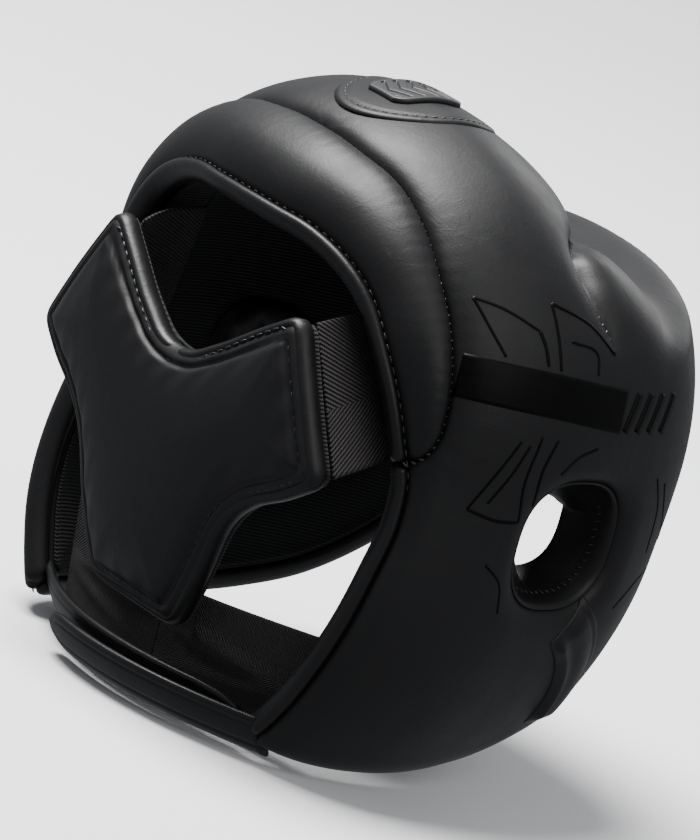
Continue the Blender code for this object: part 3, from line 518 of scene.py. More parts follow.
def coated_leather(name, dark, light, rough, grain_mm=1.1, grain_depth=0.00006, crease_mm=9.0):
    """PU-coated synthetic leather, calendered: a soft wide highlight, fine pebble grain and faint creases."""
    mat, tree, shader, place = begin_material(name)
    cloud = add(tree, "ShaderNodeTexNoise", {"Scale": 38.0, "Detail": 4.0, "Roughness": 0.6},
                {"Vector": place})
    colour_between(tree, shader, dark, light, cloud.outputs["Fac"])
    pebble = add(tree, "ShaderNodeTexVoronoi", {"feature": "SMOOTH_F1", "Scale": 1000.0 / grain_mm,
                                                "Smoothness": 0.6}, {"Vector": place})
    warp = add(tree, "ShaderNodeTexNoise", {"Scale": 1000.0 / crease_mm, "Detail": 6.0, "Roughness": 0.62,
                                            "Distortion": 1.2}, {"Vector": place})
    crease = add(tree, "ShaderNodeMath", {"operation": "POWER", 1: 3.0}, {0: warp.outputs["Fac"]})
    bump1 = add(tree, "ShaderNodeBump", {"Strength": 0.35, "Distance": grain_depth},
                {"Height": pebble.outputs["Distance"]})
    bump2 = add(tree, "ShaderNodeBump", {"Strength": 0.30, "Distance": 0.0006},
                {"Height": crease.outputs[0], "Normal": bump1.outputs["Normal"]})
    tree.links.new(bump2.outputs["Normal"], shader.inputs["Normal"])
    shine = add(tree, "ShaderNodeMapRange", {"From Min": 0.3, "From Max": 0.7, "To Min": rough - 0.04,
                                             "To Max": rough + 0.06}, {"Value": cloud.outputs["Fac"]})
    tree.links.new(shine.outputs["Result"], shader.inputs["Roughness"])
    shader.inputs["Specular IOR Level"].default_value = 0.28
    return mat


def ribbed_lining(name, dark, light, rib_mm):
    """Polyester rib knit: fine level ribs with a soft, almost lightless face."""
    mat, tree, shader, place = begin_material(name)
    wobble = add(tree, "ShaderNodeTexNoise", {"Scale": 900.0, "Detail": 2.0}, {"Vector": place})
    split = add(tree, "ShaderNodeSeparateXYZ", None, {"Vector": place})
    level = add(tree, "ShaderNodeMath", {"operation": "MULTIPLY", 1: 2 * HALF_TURN * 1000.0 / rib_mm},
                {0: split.outputs["Z"]})
    jitter = add(tree, "ShaderNodeMath", {"operation": "MULTIPLY_ADD", 1: 1.6, 2: 0.0},
                 {0: wobble.outputs["Fac"]})
    phase = add(tree, "ShaderNodeMath", {"operation": "ADD"}, {0: level.outputs[0], 1: jitter.outputs[0]})
    rib = add(tree, "ShaderNodeMath", {"operation": "SINE"}, {0: phase.outputs[0]})
    unit = add(tree, "ShaderNodeMapRange", {"From Min": -1.0, "From Max": 1.0}, {"Value": rib.outputs[0]})
    colour_between(tree, shader, dark, light, unit.outputs["Result"])
    emboss(tree, shader, unit.outputs["Result"], 0.8, 0.0004)
    shader.inputs["Roughness"].default_value = 0.85
    shader.inputs["Specular IOR Level"].default_value = 0.25
    shader.inputs["Sheen Weight"].default_value = 0.08
    shader.inputs["Sheen Roughness"].default_value = 0.5
    return mat


def herringbone_elastic(name, dark, light, cord_mm, width_mm):
    """Woven rubber-core elastic: slanting cords that turn at mid width, dull, with a painted highlight that
    makes the thread crowns paler.
    """
    mat, tree, shader, _ = begin_material(name)
    place = add(tree, "ShaderNodeUVMap", {"uv_map": "surface"})
    split = add(tree, "ShaderNodeSeparateXYZ", None, {"Vector": place.outputs["UV"]})
    centre = add(tree, "ShaderNodeMath", {"operation": "SUBTRACT", 1: width_mm * 0.00052},
                 {0: split.outputs["X"]})
    fold = add(tree, "ShaderNodeMath", {"operation": "ABSOLUTE"}, {0: centre.outputs[0]})
    slant = add(tree, "ShaderNodeMath", {"operation": "MULTIPLY_ADD", 1: 0.75},
                {0: split.outputs["Y"], 2: fold.outputs[0]})
    phase = add(tree, "ShaderNodeMath", {"operation": "MULTIPLY", 1: 2 * HALF_TURN * 1000.0 / cord_mm},
                {0: slant.outputs[0]})
    rib = add(tree, "ShaderNodeMath", {"operation": "SINE"}, {0: phase.outputs[0]})
    cross = add(tree, "ShaderNodeMath", {"operation": "MULTIPLY", 1: 2 * HALF_TURN * 1000.0 / 0.9},
                {0: split.outputs["Y"]})
    pick = add(tree, "ShaderNodeMath", {"operation": "SINE"}, {0: cross.outputs[0]})
    both = add(tree, "ShaderNodeMath", {"operation": "MULTIPLY_ADD", 1: 0.25},
               {0: pick.outputs[0], 2: rib.outputs[0]})
    unit = add(tree, "ShaderNodeMapRange", {"From Min": -1.25, "From Max": 1.25}, {"Value": both.outputs[0]})
    # the paler colour on the raised cord crowns is a painted highlight
    crown = add(tree, "ShaderNodeMath", {"operation": "POWER", 1: 3.0}, {0: unit.outputs["Result"]})
    colour_between(tree, shader, dark, light, crown.outputs[0])
    emboss(tree, shader, unit.outputs["Result"], 1.0, 0.0006)
    shader.inputs["Roughness"].default_value = 0.8
    shader.inputs["Specular IOR Level"].default_value = 0.3
    shader.inputs["Sheen Weight"].default_value = 0.06
    return mat


def sewing_thread(name, colour):
    """Bonded nylon thread: slightly glossy twisted strands."""
    mat, tree, shader, place = begin_material(name)
    twist = add(tree, "ShaderNodeTexWave", {"Scale": 260.0, "Distortion": 2.0}, {"Vector": place})
    colour_between(tree, shader, colour, srgb("303033"), twist.outputs["Fac"])
    emboss(tree, shader, twist.outputs["Fac"], 0.5, 0.0001)
    shader.inputs["Roughness"].default_value = 0.4
    return mat


def gloss_print(name, colour):
    """Heat-transfer print film: thin and deeper black than the skin round it, with slight mottling."""
    mat, tree, shader, place = begin_material(name)
    cloud = add(tree, "ShaderNodeTexNoise", {"Scale": 220.0, "Detail": 3.0}, {"Vector": place})
    colour_between(tree, shader, colour, srgb("070708"), cloud.outputs["Fac"])
    shader.inputs["Specular IOR Level"].default_value = 0.08
    shine = add(tree, "ShaderNodeMapRange", {"To Min": 0.32, "To Max": 0.44},
                {"Value": cloud.outputs["Fac"]})
    tree.links.new(shine.outputs["Result"], shader.inputs["Roughness"])
    emboss(tree, shader, cloud.outputs["Fac"], 0.2, 0.0001)
    return mat


def moulded_rubber(name, dark, light):
    """Moulded PVC rubber: even satin black with a very fine grit from the mould."""
    mat, tree, shader, place = begin_material(name)
    grit = add(tree, "ShaderNodeTexNoise", {"Scale": 1600.0, "Detail": 2.0}, {"Vector": place})
    colour_between(tree, shader, dark, light, grit.outputs["Fac"])
    emboss(tree, shader, grit.outputs["Fac"], 0.3, 0.0001)
    shader.inputs["Roughness"].default_value = 0.48
    return mat


def hook_and_loop(name, dark, light, pitch_mm):
    """Nylon hook tape: rows of tiny stiff hooks, dull, with a painted glint that makes the hook tips sparkle.
    """
    mat, tree, shader, place = begin_material(name)
    hooks = add(tree, "ShaderNodeTexVoronoi", {"Scale": 1000.0 / pitch_mm, "Randomness": 0.35},
                {"Vector": place})
    # the paler colour at the hook tips is a painted glint
    colour_between(tree, shader, light, dark, hooks.outputs["Distance"])
    emboss(tree, shader, hooks.outputs["Distance"], 1.0, 0.0008, invert=True)
    shader.inputs["Roughness"].default_value = 0.75
    return mat


def studio_paper(name, colour):
    """Matte seamless paper: a faint fibre in the tone, no shine."""
    mat, tree, shader, place = begin_material(name)
    fibre = add(tree, "ShaderNodeTexNoise", {"Scale": 3.0, "Detail": 3.0}, {"Vector": place})
    other = (colour[0] * 0.985, colour[1] * 0.985, colour[2] * 0.985, 1.0)
    colour_between(tree, shader, colour, other, fibre.outputs["Fac"])
    shader.inputs["Roughness"].default_value = 0.95
    shader.inputs["Specular IOR Level"].default_value = 0.1
    return mat


MATERIALS = {}


def finish_of(key):
    """The shared material of that finish, made the first time it is asked for."""
    if key not in MATERIALS:
        colours = bpy.context.scene.headgear_colours
        leather = (*colours.leather, 1.0)
        darker = (leather[0] * 0.8, leather[1] * 0.8, leather[2] * 0.82, 1.0)
        makers = {
            "skin": lambda: coated_leather("matte_pu_leather", darker, leather, colours.leather_roughness),
            "roll": lambda: coated_leather("rolled_pu_leather", darker, leather,
                                           colours.leather_roughness - 0.06,
                                           crease_mm=4.0),
            "lining": lambda: ribbed_lining("rib_knit_lining", srgb("08080A"), srgb("1B1C1E"), 1.3),
            # the pale second colours of the elastic and the neck strap are painted highlights on their cord
            # crowns
            "elastic": lambda: herringbone_elastic("herringbone_elastic", srgb("0B0A0A"), srgb("45403E"),
                                                   1.7, 60.0),
            "webbing": lambda: herringbone_elastic("woven_neck_strap", srgb("0C0B0B"), srgb("2F2D2C"), 1.2,
                                                   40.0),
            "thread": lambda: sewing_thread("bonded_nylon_thread", srgb("0E0E0F")),
            "print": lambda: gloss_print("heat_transfer_print", srgb("020202")),
            "rubber": lambda: moulded_rubber("moulded_rubber", srgb("0E0E0F"), srgb("1A1A1C")),
            # the pale second colour of the hook tape is a painted glint on the hook tips
            "hook": lambda: hook_and_loop("nylon_hook_tape", srgb("060606"), srgb("2A2A2B"), 1.3),
        }
        MATERIALS[key] = makers[key]()
    return MATERIALS[key]


# ---- sizes and colours a user would change ----


class HeadgearSizes(bpy.types.PropertyGroup):
    """Sizes of the sewn details; the body of the headgear keeps the frame's size."""

    seam_depth: bpy.props.FloatProperty(name="Seam depth", description="How deep the crescent seam sinks",
                                        default=0.0026, min=0.0005, max=0.006, unit="LENGTH")
    piping_radius: bpy.props.FloatProperty(name="Piping radius",
                                           description="Half the width of the edge rolls",
                                           default=0.0032, min=0.002, max=0.006, unit="LENGTH")
    stitch_length: bpy.props.FloatProperty(name="Stitch length", description="Length of one stitch",
                                           default=0.0034, min=0.0015, max=0.006, unit="LENGTH")
    pad_crown: bpy.props.FloatProperty(name="Rear pad crown", description="How far the rear pad swells",
                                       default=0.006, min=0.0, max=0.012, unit="LENGTH")


class HeadgearColours(bpy.types.PropertyGroup):
    """Colours of the finishes."""

    leather: bpy.props.FloatVectorProperty(name="Leather", description="Colour of the matte skin",
                                           subtype="COLOR",
                                           size=3, default=srgb("121213")[:3], min=0.0, max=1.0)
    leather_roughness: bpy.props.FloatProperty(name="Leather roughness",
                                               description="Dullness of the matte skin",
                                               default=0.47, min=0.2, max=0.9)
    paper: bpy.props.FloatVectorProperty(name="Paper", description="Colour of the studio floor",
                                         subtype="COLOR",
                                         size=3, default=srgb("E8E8E9")[:3], min=0.0, max=1.0)


def sizes():
    """The sizes set in the panel."""
    return bpy.context.scene.headgear_sizes


# ---- shell ----

GRIDS = {}


def main_grids():
    """The fine main grid with its outer and inner points, worked out once."""
    if "main" not in GRIDS:
        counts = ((60, 56, 84, 120))
        side = main_side_grid(counts, 58)
        GRIDS["main"] = (side, main_relief(side, sizes()), main_inner(side), counts)
    return GRIDS["main"]


def arch_grid():
    """Crescent pad grid: rows from the middle down to its tip, columns from the seam to the arch edge."""
    side, _, _, counts = main_grids()
    first = counts[0] + counts[1] + counts[2]
    seam = side[-1, first:]
    below = (seam[:, 1] < 0.0) & (seam[:, 0] > 24.0)
    seam = seam[:int(np.argmax(below))]
    seam = even_steps(seam, 130) + np.array([0.10, -0.04])
    seam[0] = np.array(middle(59.4))
    length = np.r_[0.0, np.cumsum(np.hypot(*np.diff(seam, axis=0).T))]
    edge = at(smooth_curve(ARCH, 900), length / length[-1] * 0.985)
    share = np.linspace(0.0, 1.0, 34)[None, :, None]
    side = seam[:, None, :] * (1 - share) + edge[:, None, :] * share
    side[0] *= (90.0 / np.hypot(side[0, :, 0], side[0, :, 1]))[:, None]
    return side


class HEADGEAR_OT_shell(bpy.types.Operator):
    """Main padded shell: one leather skin over crown, sides and brow, and its ribbed lining"""

    bl_idname = "headgear.shell"
    bl_label = "Shell"

    def execute(self, context):
        side, relief, inner, _ = main_grids()
        outer_points = on_shell(side, relief)
        inner_points = on_shell(side, inner + 0.12)
        points, faces = shell_between(outer_points, inner_points, True, True)
        skin = make_piece("shell_skin", *with_mirror(points, faces), "skin")
        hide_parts("main_cover", "main_foam")
        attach(skin, "shell")
        coarse = side[::2, ::2]
        depth = inner[::2, ::2]
        points, faces = shell_between(on_shell(coarse, depth + 0.10), on_shell(coarse, depth - 0.02), True,
                                      True)
        lining = make_piece("shell_lining", *with_mirror(points, faces), "lining")
        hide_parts("main_lining")
        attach(lining, "shell")
        return {"FINISHED"}


class HEADGEAR_OT_arch(bpy.types.Operator):
    """Crescent pad along the rear arch, crowned between its seam and its edge, and its lining"""

    bl_idname = "headgear.arch"
    bl_label = "Crescent arch pad"

    def execute(self, context):
        side = arch_grid()
        seam_gap, seam_along = nearest(side, [SEAM, SEAM_END])
        edge_gap, _ = nearest(side, [ARCH])
        relief = -sizes().seam_depth / CM * np.exp(-seam_gap / 0.5) - 0.16 * np.exp(-seam_gap / 0.13)
        share = seam_gap / (seam_gap + edge_gap + 1e-6)
        relief = relief + share * (1 - share) * np.clip((seam_gap + edge_gap) / 4.0, 0, 1)
        relief = relief - 0.80 * quarter_round(edge_gap, 1.9) - 0.10 * np.exp(-edge_gap / 0.12)
        relief = relief + 0.014 * puckers(seam_gap, seam_along, 0.5, 0.62)
        inner = -THICKNESS + (THICKNESS - EDGE_INSIDE) * np.exp(-(edge_gap / 1.2) ** 2)
        points, faces = shell_between(on_shell(side, relief), on_shell(side, inner + 0.12), False, True)
        skin = make_piece("arch_skin", *with_mirror(points, faces), "skin")
        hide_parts("arch_cover", "arch_foam")
        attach(skin, "shell")
        part = (slice(None, None, 2), slice(None, None, 2))
        points, faces = shell_between(on_shell(side[part], inner[part] + 0.10),
                                      on_shell(side[part], inner[part] - 0.02), False, True)
        lining = make_piece("arch_lining_cloth", *with_mirror(points, faces), "lining")
        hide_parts("arch_lining")
        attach(lining, "shell")
        return {"FINISHED"}


def edge_path(curves, count, lift, beside, sign):
    """Path along an open edge at a lift, moved sideways off it, and the outward side of each point."""
    line = np.concatenate([smooth_curve(c, 400)[(0 if i == 0 else 1):] for i, c in enumerate(curves)])
    line = even_steps(line, count)
    base = on_shell(line, lift)
    _, out, side = path_frames(base, direction(line))
    return base + side * (beside * sign), out


def both_halves(path, out):
    """A path that starts on the middle plane carried across to the other side."""
    path = path.copy()
    path[0, 0] = 0.0
    return (np.concatenate([reflected(path)[::-1], path[1:]]),
            np.concatenate([reflected(out)[::-1], out[1:]]))


def tube_piece(name, path, out, half_up, half_across):
    """A closed edge roll along a path."""
    points, faces = tube(path, out, half_up, half_across)
    return make_piece(name, points, faces, "roll", outward=False)


class HEADGEAR_OT_piping(bpy.types.Operator):
    """Leather edge rolls round the arch, the rear edges, the bottom and the face opening"""

    bl_idname = "headgear.piping"
    bl_label = "Edge piping"

    def execute(self, context):
        radius = sizes().piping_radius / CM
        path, out = edge_path([ARCH], 120, -0.98, 0.20, 1.0)
        made = tube_piece("arch_roll", *both_halves(path, out), 0.52, radius)
        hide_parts("arch_piping")
        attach(made, "shell")
        path, out = edge_path([REAR], 110, -0.98, 0.20, -1.0)
        for name, way in SIDES:
            made = tube_piece("rear_roll_" + name, way(path), way(out), 0.52, radius)
            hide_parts("rear_piping_" + name)
            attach(made, "shell")
        path, out = edge_path([BOTTOM], 110, -1.1, 0.16, 1.0)
        for name, way in SIDES:
            made = tube_piece("bottom_roll_" + name, way(path), way(out), 0.5, 0.3)
            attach(made, "shell")
        path, out = edge_path([FACE[::-1]], 150, -1.1, 0.16, -1.0)
        made = tube_piece("face_roll", *both_halves(path, out), 0.5, 0.3)
        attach(made, "shell")
        return {"FINISHED"}


def stitch_row(name, path, out, spacing, length, width, height, turn, body="shell"):
    """A row of stitches at even steps along a path."""
    total = np.linalg.norm(np.diff(path, axis=0), axis=1).sum()
    count = max(6, int(total / spacing))
    places = even_steps(path, count)
    share = np.linspace(0, 1, count)
    outs = np.stack([np.interp(share, np.linspace(0, 1, len(out)), out[:, k]) for k in range(3)], -1)
    tangent, up, side = path_frames(places, outs)
    points, faces = beads(places, tangent, up, side, length, width, height, turn)
    made = make_piece(name, points, faces, "thread")
    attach(made, body)
    return made


class HEADGEAR_OT_stitches(bpy.types.Operator):
    """Whip stitches over the crescent seam and the dart, and running stitches beside the edge rolls"""

    bl_idname = "headgear.stitches"
    bl_label = "Stitches"

    def execute(self, context):
        length = sizes().stitch_length / CM
        line = even_steps(np.concatenate([smooth_curve(SEAM, 400), smooth_curve(SEAM_END, 60)[1:]]), 300)
        path, out = both_halves(on_shell(line, -0.50), direction(line))
        stitch_row("crescent_seam_stitches", path, out, 0.30, length, 0.09, 0.10, 0.9)
        line = smooth_curve(DART, 160)
        lift = -0.15 - 0.90 * rise(np.hypot(line[:, 0], line[:, 1]), 27, 46)
        path, out = both_halves(on_shell(line, lift + 0.02), direction(line))
        stitch_row("dart_stitches", path, out, 0.28, length, 0.09, 0.10, 1.1)
        path, out = edge_path([ARCH], 200, -0.60, -0.06, 1.0)
        stitch_row("arch_edge_stitches", *both_halves(path, out), 0.42, length, 0.07, 0.08, 0.0)
        path, out = edge_path([REAR], 200, -0.60, -0.06, -1.0)
        stitch_row("rear_edge_stitches_right", path, out, 0.42, length, 0.07, 0.08, 0.0)
        stitch_row("rear_edge_stitches_left", reflected(path), reflected(out), 0.42, length, 0.07, 0.08, 0.0)
        return {"FINISHED"}


class HEADGEAR_OT_ear_sleeves(bpy.types.Operator):
    """Leather sleeves that line the ear openings, with a rounded lip outside and inside"""

    bl_idname = "headgear.ear_sleeves"
    bl_label = "Ear sleeves"

    def execute(self, context):
        grow = np.array([1.0, 0.985, 0.965, 0.945, 0.93, 0.925, 0.925, 0.925, 0.93, 0.945, 0.965, 0.985,
                         0.992, 0.985])
        lift = np.array([-0.46, -0.40, -0.40, -0.46, -0.60, -0.9, -1.5, -2.1, -2.45, -2.62, -2.68, -2.64,
                         -2.4, -1.2])
        count = 120
        rings = np.stack([rim_loop(count, g) for g in grow])
        deep = rise(-lift, 0.9, 2.3)[:, None] * rise(grow, 0.9, 0.93)[:, None]
        behind = rise(rings[..., 0] - EAR_CENTRE[0], -2.0, 11.0)
        above = rise(rings[..., 1] - EAR_CENTRE[1], 0.0, 11.0)
        inner_only = (np.arange(len(grow)) < 11)[:, None]
        rings[..., 0] -= 7.5 * behind * deep * inner_only
        rings[..., 1] -= 6.5 * above * deep * inner_only
        points = on_shell(rings, lift[:, None] * np.ones((1, count)))
        faces = grid_faces(len(grow), count, wrap_rows=True, wrap_columns=True)
        for name, way in SIDES:
            made = make_piece("ear_sleeve_skin_" + name, way(points.reshape(-1, 3)), faces, "roll")
            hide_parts("ear_sleeve_" + name)
            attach(made, "shell")
            loop = rim_loop(160, 0.915)
            out = np.array(EAR_CENTRE) - loop
            path = on_shell(loop, -1.15)
            inward = on_shell(loop + out * 0.05, -1.15) - path
            stitch_row("ear_stitches_" + name, way(path), way(inward), 0.30, 0.30, 0.07, 0.08, 1.2)
        return {"FINISHED"}


def lying_band(line, width, columns):
    """Side-map grid of a curve widened sideways on the shell, the skin's relief there, and shares across."""
    base = on_shell(line, np.zeros(len(line)))
    _, _, sideways = path_frames(base, direction(line))
    across = np.linspace(-0.5, 0.5, columns)
    grid = base[:, None, :] + sideways[:, None, :] * (across * width)[None, :, None]
    side = to_side(grid)
    relief = main_relief(side, sizes())
    return side, relief, across


class HEADGEAR_OT_jaw_bands(bpy.types.Operator):
    """Sewn leather bands from the ear openings down round the jaw, with a raised rear ridge"""

    bl_idname = "headgear.jaw_bands"
    bl_label = "Jaw bands"

    def execute(self, context):
        line = smooth_curve(JAW_BAND, 70)
        side, relief, across = lying_band(line, 2.2, 28)
        t = across * 2
        profile = 0.25 * np.exp(-((t - 0.66) / 0.20) ** 2) + 0.16 * np.exp(-((t + 0.2) / 0.5) ** 2)
        profile = profile - 0.06 * np.exp(-((t + 0.72) / 0.06) ** 2) + 0.05
        profile = profile * np.clip((1 - np.abs(t)) / 0.08, 0.15, 1.0)
        ends = rise(np.minimum(np.arange(70), np.arange(70)[::-1]) + 1.0, 0.0, 9.0)
        high = on_shell(side, relief + profile[None, :] * ends[:, None] + 0.02)
        low = on_shell(side, relief - 0.06)
        points, faces = shell_between(high, low, False, False)
        for name, way in SIDES:
            made = make_piece("jaw_band_skin_" + name, way(points), faces, "roll")
            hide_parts("jaw_band_" + name)
            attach(made, "shell")
        return {"FINISHED"}


def print_ribbon(line, width):
    """Thin closed ribbon of print film lying on the skin along a side-map curve."""
    side, relief, _ = lying_band(line, width, 3 if width < 0.4 else 13)
    film = 0.026 if width > 0.3 else 0.016
    return shell_between(on_shell(side, relief + film), on_shell(side, relief - 0.012), False, False)


# how far each slanted bar leans to either side, in degrees of the side map
BAR_LEAN = 1.4
# plain angular strokes, each a list of side-map corners, and their widths in centimetres
STROKES = [
    ([(20.5, 33), (14, 31.5), (6.5, 28.5)], 0.10),
    ([(20.5, 33), (16.5, 27), (13.5, 23)], 0.10),
    ([(6.5, 28.5), (5.2, 26), (4.2, 22.5)], 0.14),
    ([(3.6, 34), (-6, 31), (-12.5, 26)], 0.12),
    ([(3.6, 34), (2.2, 28), (1.2, 22)], 0.12),
    ([(-1.0, 27.5), (-7.5, 26), (-8.2, 22)], 0.10),
    ([(14.5, -5.5), (11, 1.5), (7.5, 8.5)], 0.10),
    ([(14.5, -5.5), (8.5, -6.6), (3.0, -6.4)], 0.12),
    ([(10.8, -3.8), (7.8, 2.0), (5.4, 8.0)], 0.10),
    ([(3.0, -6.4), (4.4, 1.0), (3.2, 9.8)], 0.10),
    ([(0.6, -3.2), (1.2, 3.5), (-0.6, 9.6)], 0.12),
    ([(-3.4, 3.4), (-6.5, 6.8), (-11, 8.8)], 0.10),
    ([(7.5, -14.5), (3.2, -17.5), (1.4, -22.5)], 0.08),
    ([(-32, 3.2), (-36, -3.5), (-37.5, -12)], 0.10),
    ([(-35.5, 2.0), (-40, -5.0), (-44, -10.5)], 0.12),
    ([(-31, -22), (-37, -17.5), (-42, -16)], 0.10),
]


class HEADGEAR_OT_prints(bpy.types.Operator):
    """Black stripe, plain slanted bars and thin angular lines printed on both sides"""

    bl_idname = "headgear.prints"
    bl_label = "Prints"

    def execute(self, context):
        stripe = smooth_curve([(22.0, 18.4), (12, 17.9), (0, 17.3), (-10, 16.4), (-16.5, 15.8)], 80)
        bars = [print_ribbon(stripe, 1.62)]
        for start in (-19.0, -22.6, -26.2, -30.0):
            line = smooth_curve([(start - BAR_LEAN, 19.2), (start, 15.6), (start + BAR_LEAN, 12.1)], 16)
            bars.append(print_ribbon(line, 0.36))
        lines = [print_ribbon(smooth_curve(corners, 30), width) for corners, width in STROKES]
        for name, way in SIDES:
            made = joined("printed_stripe_" + name, [(way(p), f) for p, f in bars], "print")
            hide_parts("side_stripe_" + name)
            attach(made, "shell")
            made = joined("printed_lines_" + name, [(way(p), f) for p, f in lines], "print")
            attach(made, "shell")
        return {"FINISHED"}


def joined(name, shapes, key):
    """One piece from several closed shapes, each turned outward by itself."""
    points = []
    faces = []
    shift = 0
    for pts, fcs in shapes:
        points.append(pts)
        faces.append((fcs[:, ::-1] if signed_volume(pts, fcs) < 0 else fcs) + shift)
        shift += len(pts)
    return make_piece(name, np.concatenate(points), np.concatenate(faces), key)


def crown_point(x, y):
    """Point of the bare head form below a place over the crown, by halving, for whole arrays."""
    low = np.full(np.shape(x), 5.0)
    high = np.full(np.shape(x), 16.0)
    for _ in range(36):
        z = (low + high) / 2
        points = np.stack([-np.abs(x), y, z], -1)
        outside = np.linalg.norm(points - HEAD_CENTRE, axis=-1) > head_radius(to_side(points))
        high = np.where(outside, z, high)
        low = np.where(outside, low, z)
    return np.stack([x, y, low], -1)


class HEADGEAR_OT_crown_badge(bpy.types.Operator):
    """Crown patch with its sewn outline and the raised rubber badge on it"""

    bl_idname = "headgear.crown_badge"
    bl_label = "Crown patch and badge"

    def execute(self, context):
        angle = np.linspace(0, 2 * HALF_TURN, 96, endpoint=False)[None, :]
        ring = np.linspace(0.0, 1.0, 26)[:, None]
        x = 2.7 * ring * np.cos(angle)
        y = 3.4 + 3.3 * ring * np.sin(angle)
        base = crown_point(x, y)
        way = base - HEAD_CENTRE
        way = way / np.linalg.norm(way, axis=-1)[..., None]
        inward = (1 - ring) * 3.0
        lift = 0.10 - 0.10 * quarter_round(inward, 0.35) - 0.05 * np.exp(-((inward - 0.35) / 0.06) ** 2)
        high = base + way * (lift + 0 * angle)[..., None]
        low = base - way * 0.05
        points, faces = closed_slab(high[1:], low[1:])
        patch = make_piece("crown_patch_skin", points, faces, "skin", outward=False)
        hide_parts("crown_patch")
        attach(patch, "shell")
        loop = crown_point(2.35 * np.cos(angle[0]), 3.4 + 2.92 * np.sin(angle[0]))
        loop = np.concatenate([loop, loop[:1]])
        out = loop - HEAD_CENTRE
        out = out / np.linalg.norm(out, axis=1)[:, None]
        row = stitch_row("crown_patch_stitches", loop + out * 0.07, out, 0.36, 0.28, 0.06, 0.07, 0.0)
        self.badge()
        return {"FINISHED"}

    def badge(self):
        """Rounded slab on the crown: a soft-cornered outline, flat rim, and plain sunk chevrons."""
        u = np.linspace(-1, 1, 150)[:, None]
        v = np.linspace(-1, 1, 110)[None, :]
        y = 3.65 + 1.62 * np.sign(u) * np.abs(u) ** 0.9 + 0 * v
        x = 1.12 * v * (1 - 0.35 * np.abs(u) ** 6)
        base = crown_point(x, y)
        way = np.array([0.0, 0.0843, 0.9964])
        edge = np.minimum((1 - np.abs(u)) * 1.62, (1 - np.abs(v)) * 1.12)
        height = 0.30 - 0.10 * quarter_round(edge, 0.12)
        groove = 1 - rise(np.abs(((u * 3.0 + np.abs(v) * 1.1) % 1.0) - 0.5), 0.15, 0.24)
        height = height - 0.08 * groove * rise(edge, 0.20, 0.28)
        points, faces = shell_between(base + way * height[..., None], base + way * 0.04, False, False)
        made = make_piece("crown_badge_rubber", points, faces, "rubber")
        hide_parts("crown_badge")
        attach(made, "shell")


# ---- rear pad ----

PAD_HUB = np.array([0.0, -0.6])
PAD_OUTLINE = [(0, 2.4), (1.2, 2.6), (2.9, 3.6), (4.3, 4.6), (5.95, 5.7), (7.5, 3.1), (8.95, 0.5), (7.5,
    -0.55),
               (6.1, -1.3), (5.2, -2.1), (4.6, -3.0), (3.95, -4.8), (3.3, -6.2), (2.6, -7.5), (0, -7.5)]


def pad_face(x, z):
    """Outer face of the rear pad, rounded to the back of the head."""
    return 11.48 - 0.0088 * x ** 2 + 0.09 * z - 0.0125 * z ** 2


def pad_outline(count):
    """Right half of the outline turned into the whole loop, lightly rounded at its corners."""
    half = np.array(PAD_OUTLINE, float)
    loop = np.concatenate([half, (half * np.array([-1.0, 1.0]))[-2:0:-1]])
    fine = even_steps(np.concatenate([loop, loop[:1]]), 721)[:-1]
    kernel = np.hanning(23)
    kernel = kernel / kernel.sum()
    wrapped = np.concatenate([fine[-11:], fine, fine[:11]])
    soft = np.stack([np.convolve(wrapped[:, k], kernel, mode="valid") for k in (0, 1)], -1)
    return even_steps(np.concatenate([soft, soft[:1]]), count + 1)[:-1]


def pad_surface(rings, count, grow=1.0):
    """Rows of plan places from the hub out to the outline, each row a shrunken outline."""
    loop = pad_outline(count)
    share = np.linspace(0.02, 1.0, rings)[:, None, None]
    share = 1 - (1 - share) ** 1.35
    return PAD_HUB + (loop[None] - PAD_HUB) * share * grow


def plan_distance(plan, loop):
    """Distance of plan places from a closed loop of corners."""
    ends = np.roll(loop, -1, axis=0)
    best = np.full(plan.shape[:-1], 1e9)
    step = ends - loop
    size = np.einsum("ij,ij->i", step, step)
    for a, d, s in zip(loop, step, size):
        t = np.clip(((plan - a) @ d) / s, 0, 1)
        best = np.minimum(best, np.linalg.norm(plan - a - t[..., None] * d, axis=-1))
    return best


def closed_slab(outer, inner):
    """Closed solid from two like polar grids: skins, rim wall and the two hub caps."""
    rows, columns = outer.shape[:2]
    count = rows * columns
    hub_out = outer[0].mean(0, keepdims=True)
    hub_in = inner[0].mean(0, keepdims=True)
    points = np.concatenate([outer.reshape(-1, 3), inner.reshape(-1, 3), hub_out, hub_in])
    skin = grid_faces(rows, columns, wrap_columns=True)
    first = np.arange(columns)
    after = np.roll(first, -1)
    rim = (rows - 1) * columns + first
    rim_after = (rows - 1) * columns + after
    wall = np.stack([rim, rim_after, rim_after + count, rim + count], -1)
    top = np.stack([np.full(columns, 2 * count), after, first], -1)
    low = np.stack([np.full(columns, 2 * count + 1), first + count, after + count], -1)
    return points, [np.concatenate([skin, skin[:, ::-1] + count, wall[:, ::-1]]), top, low]


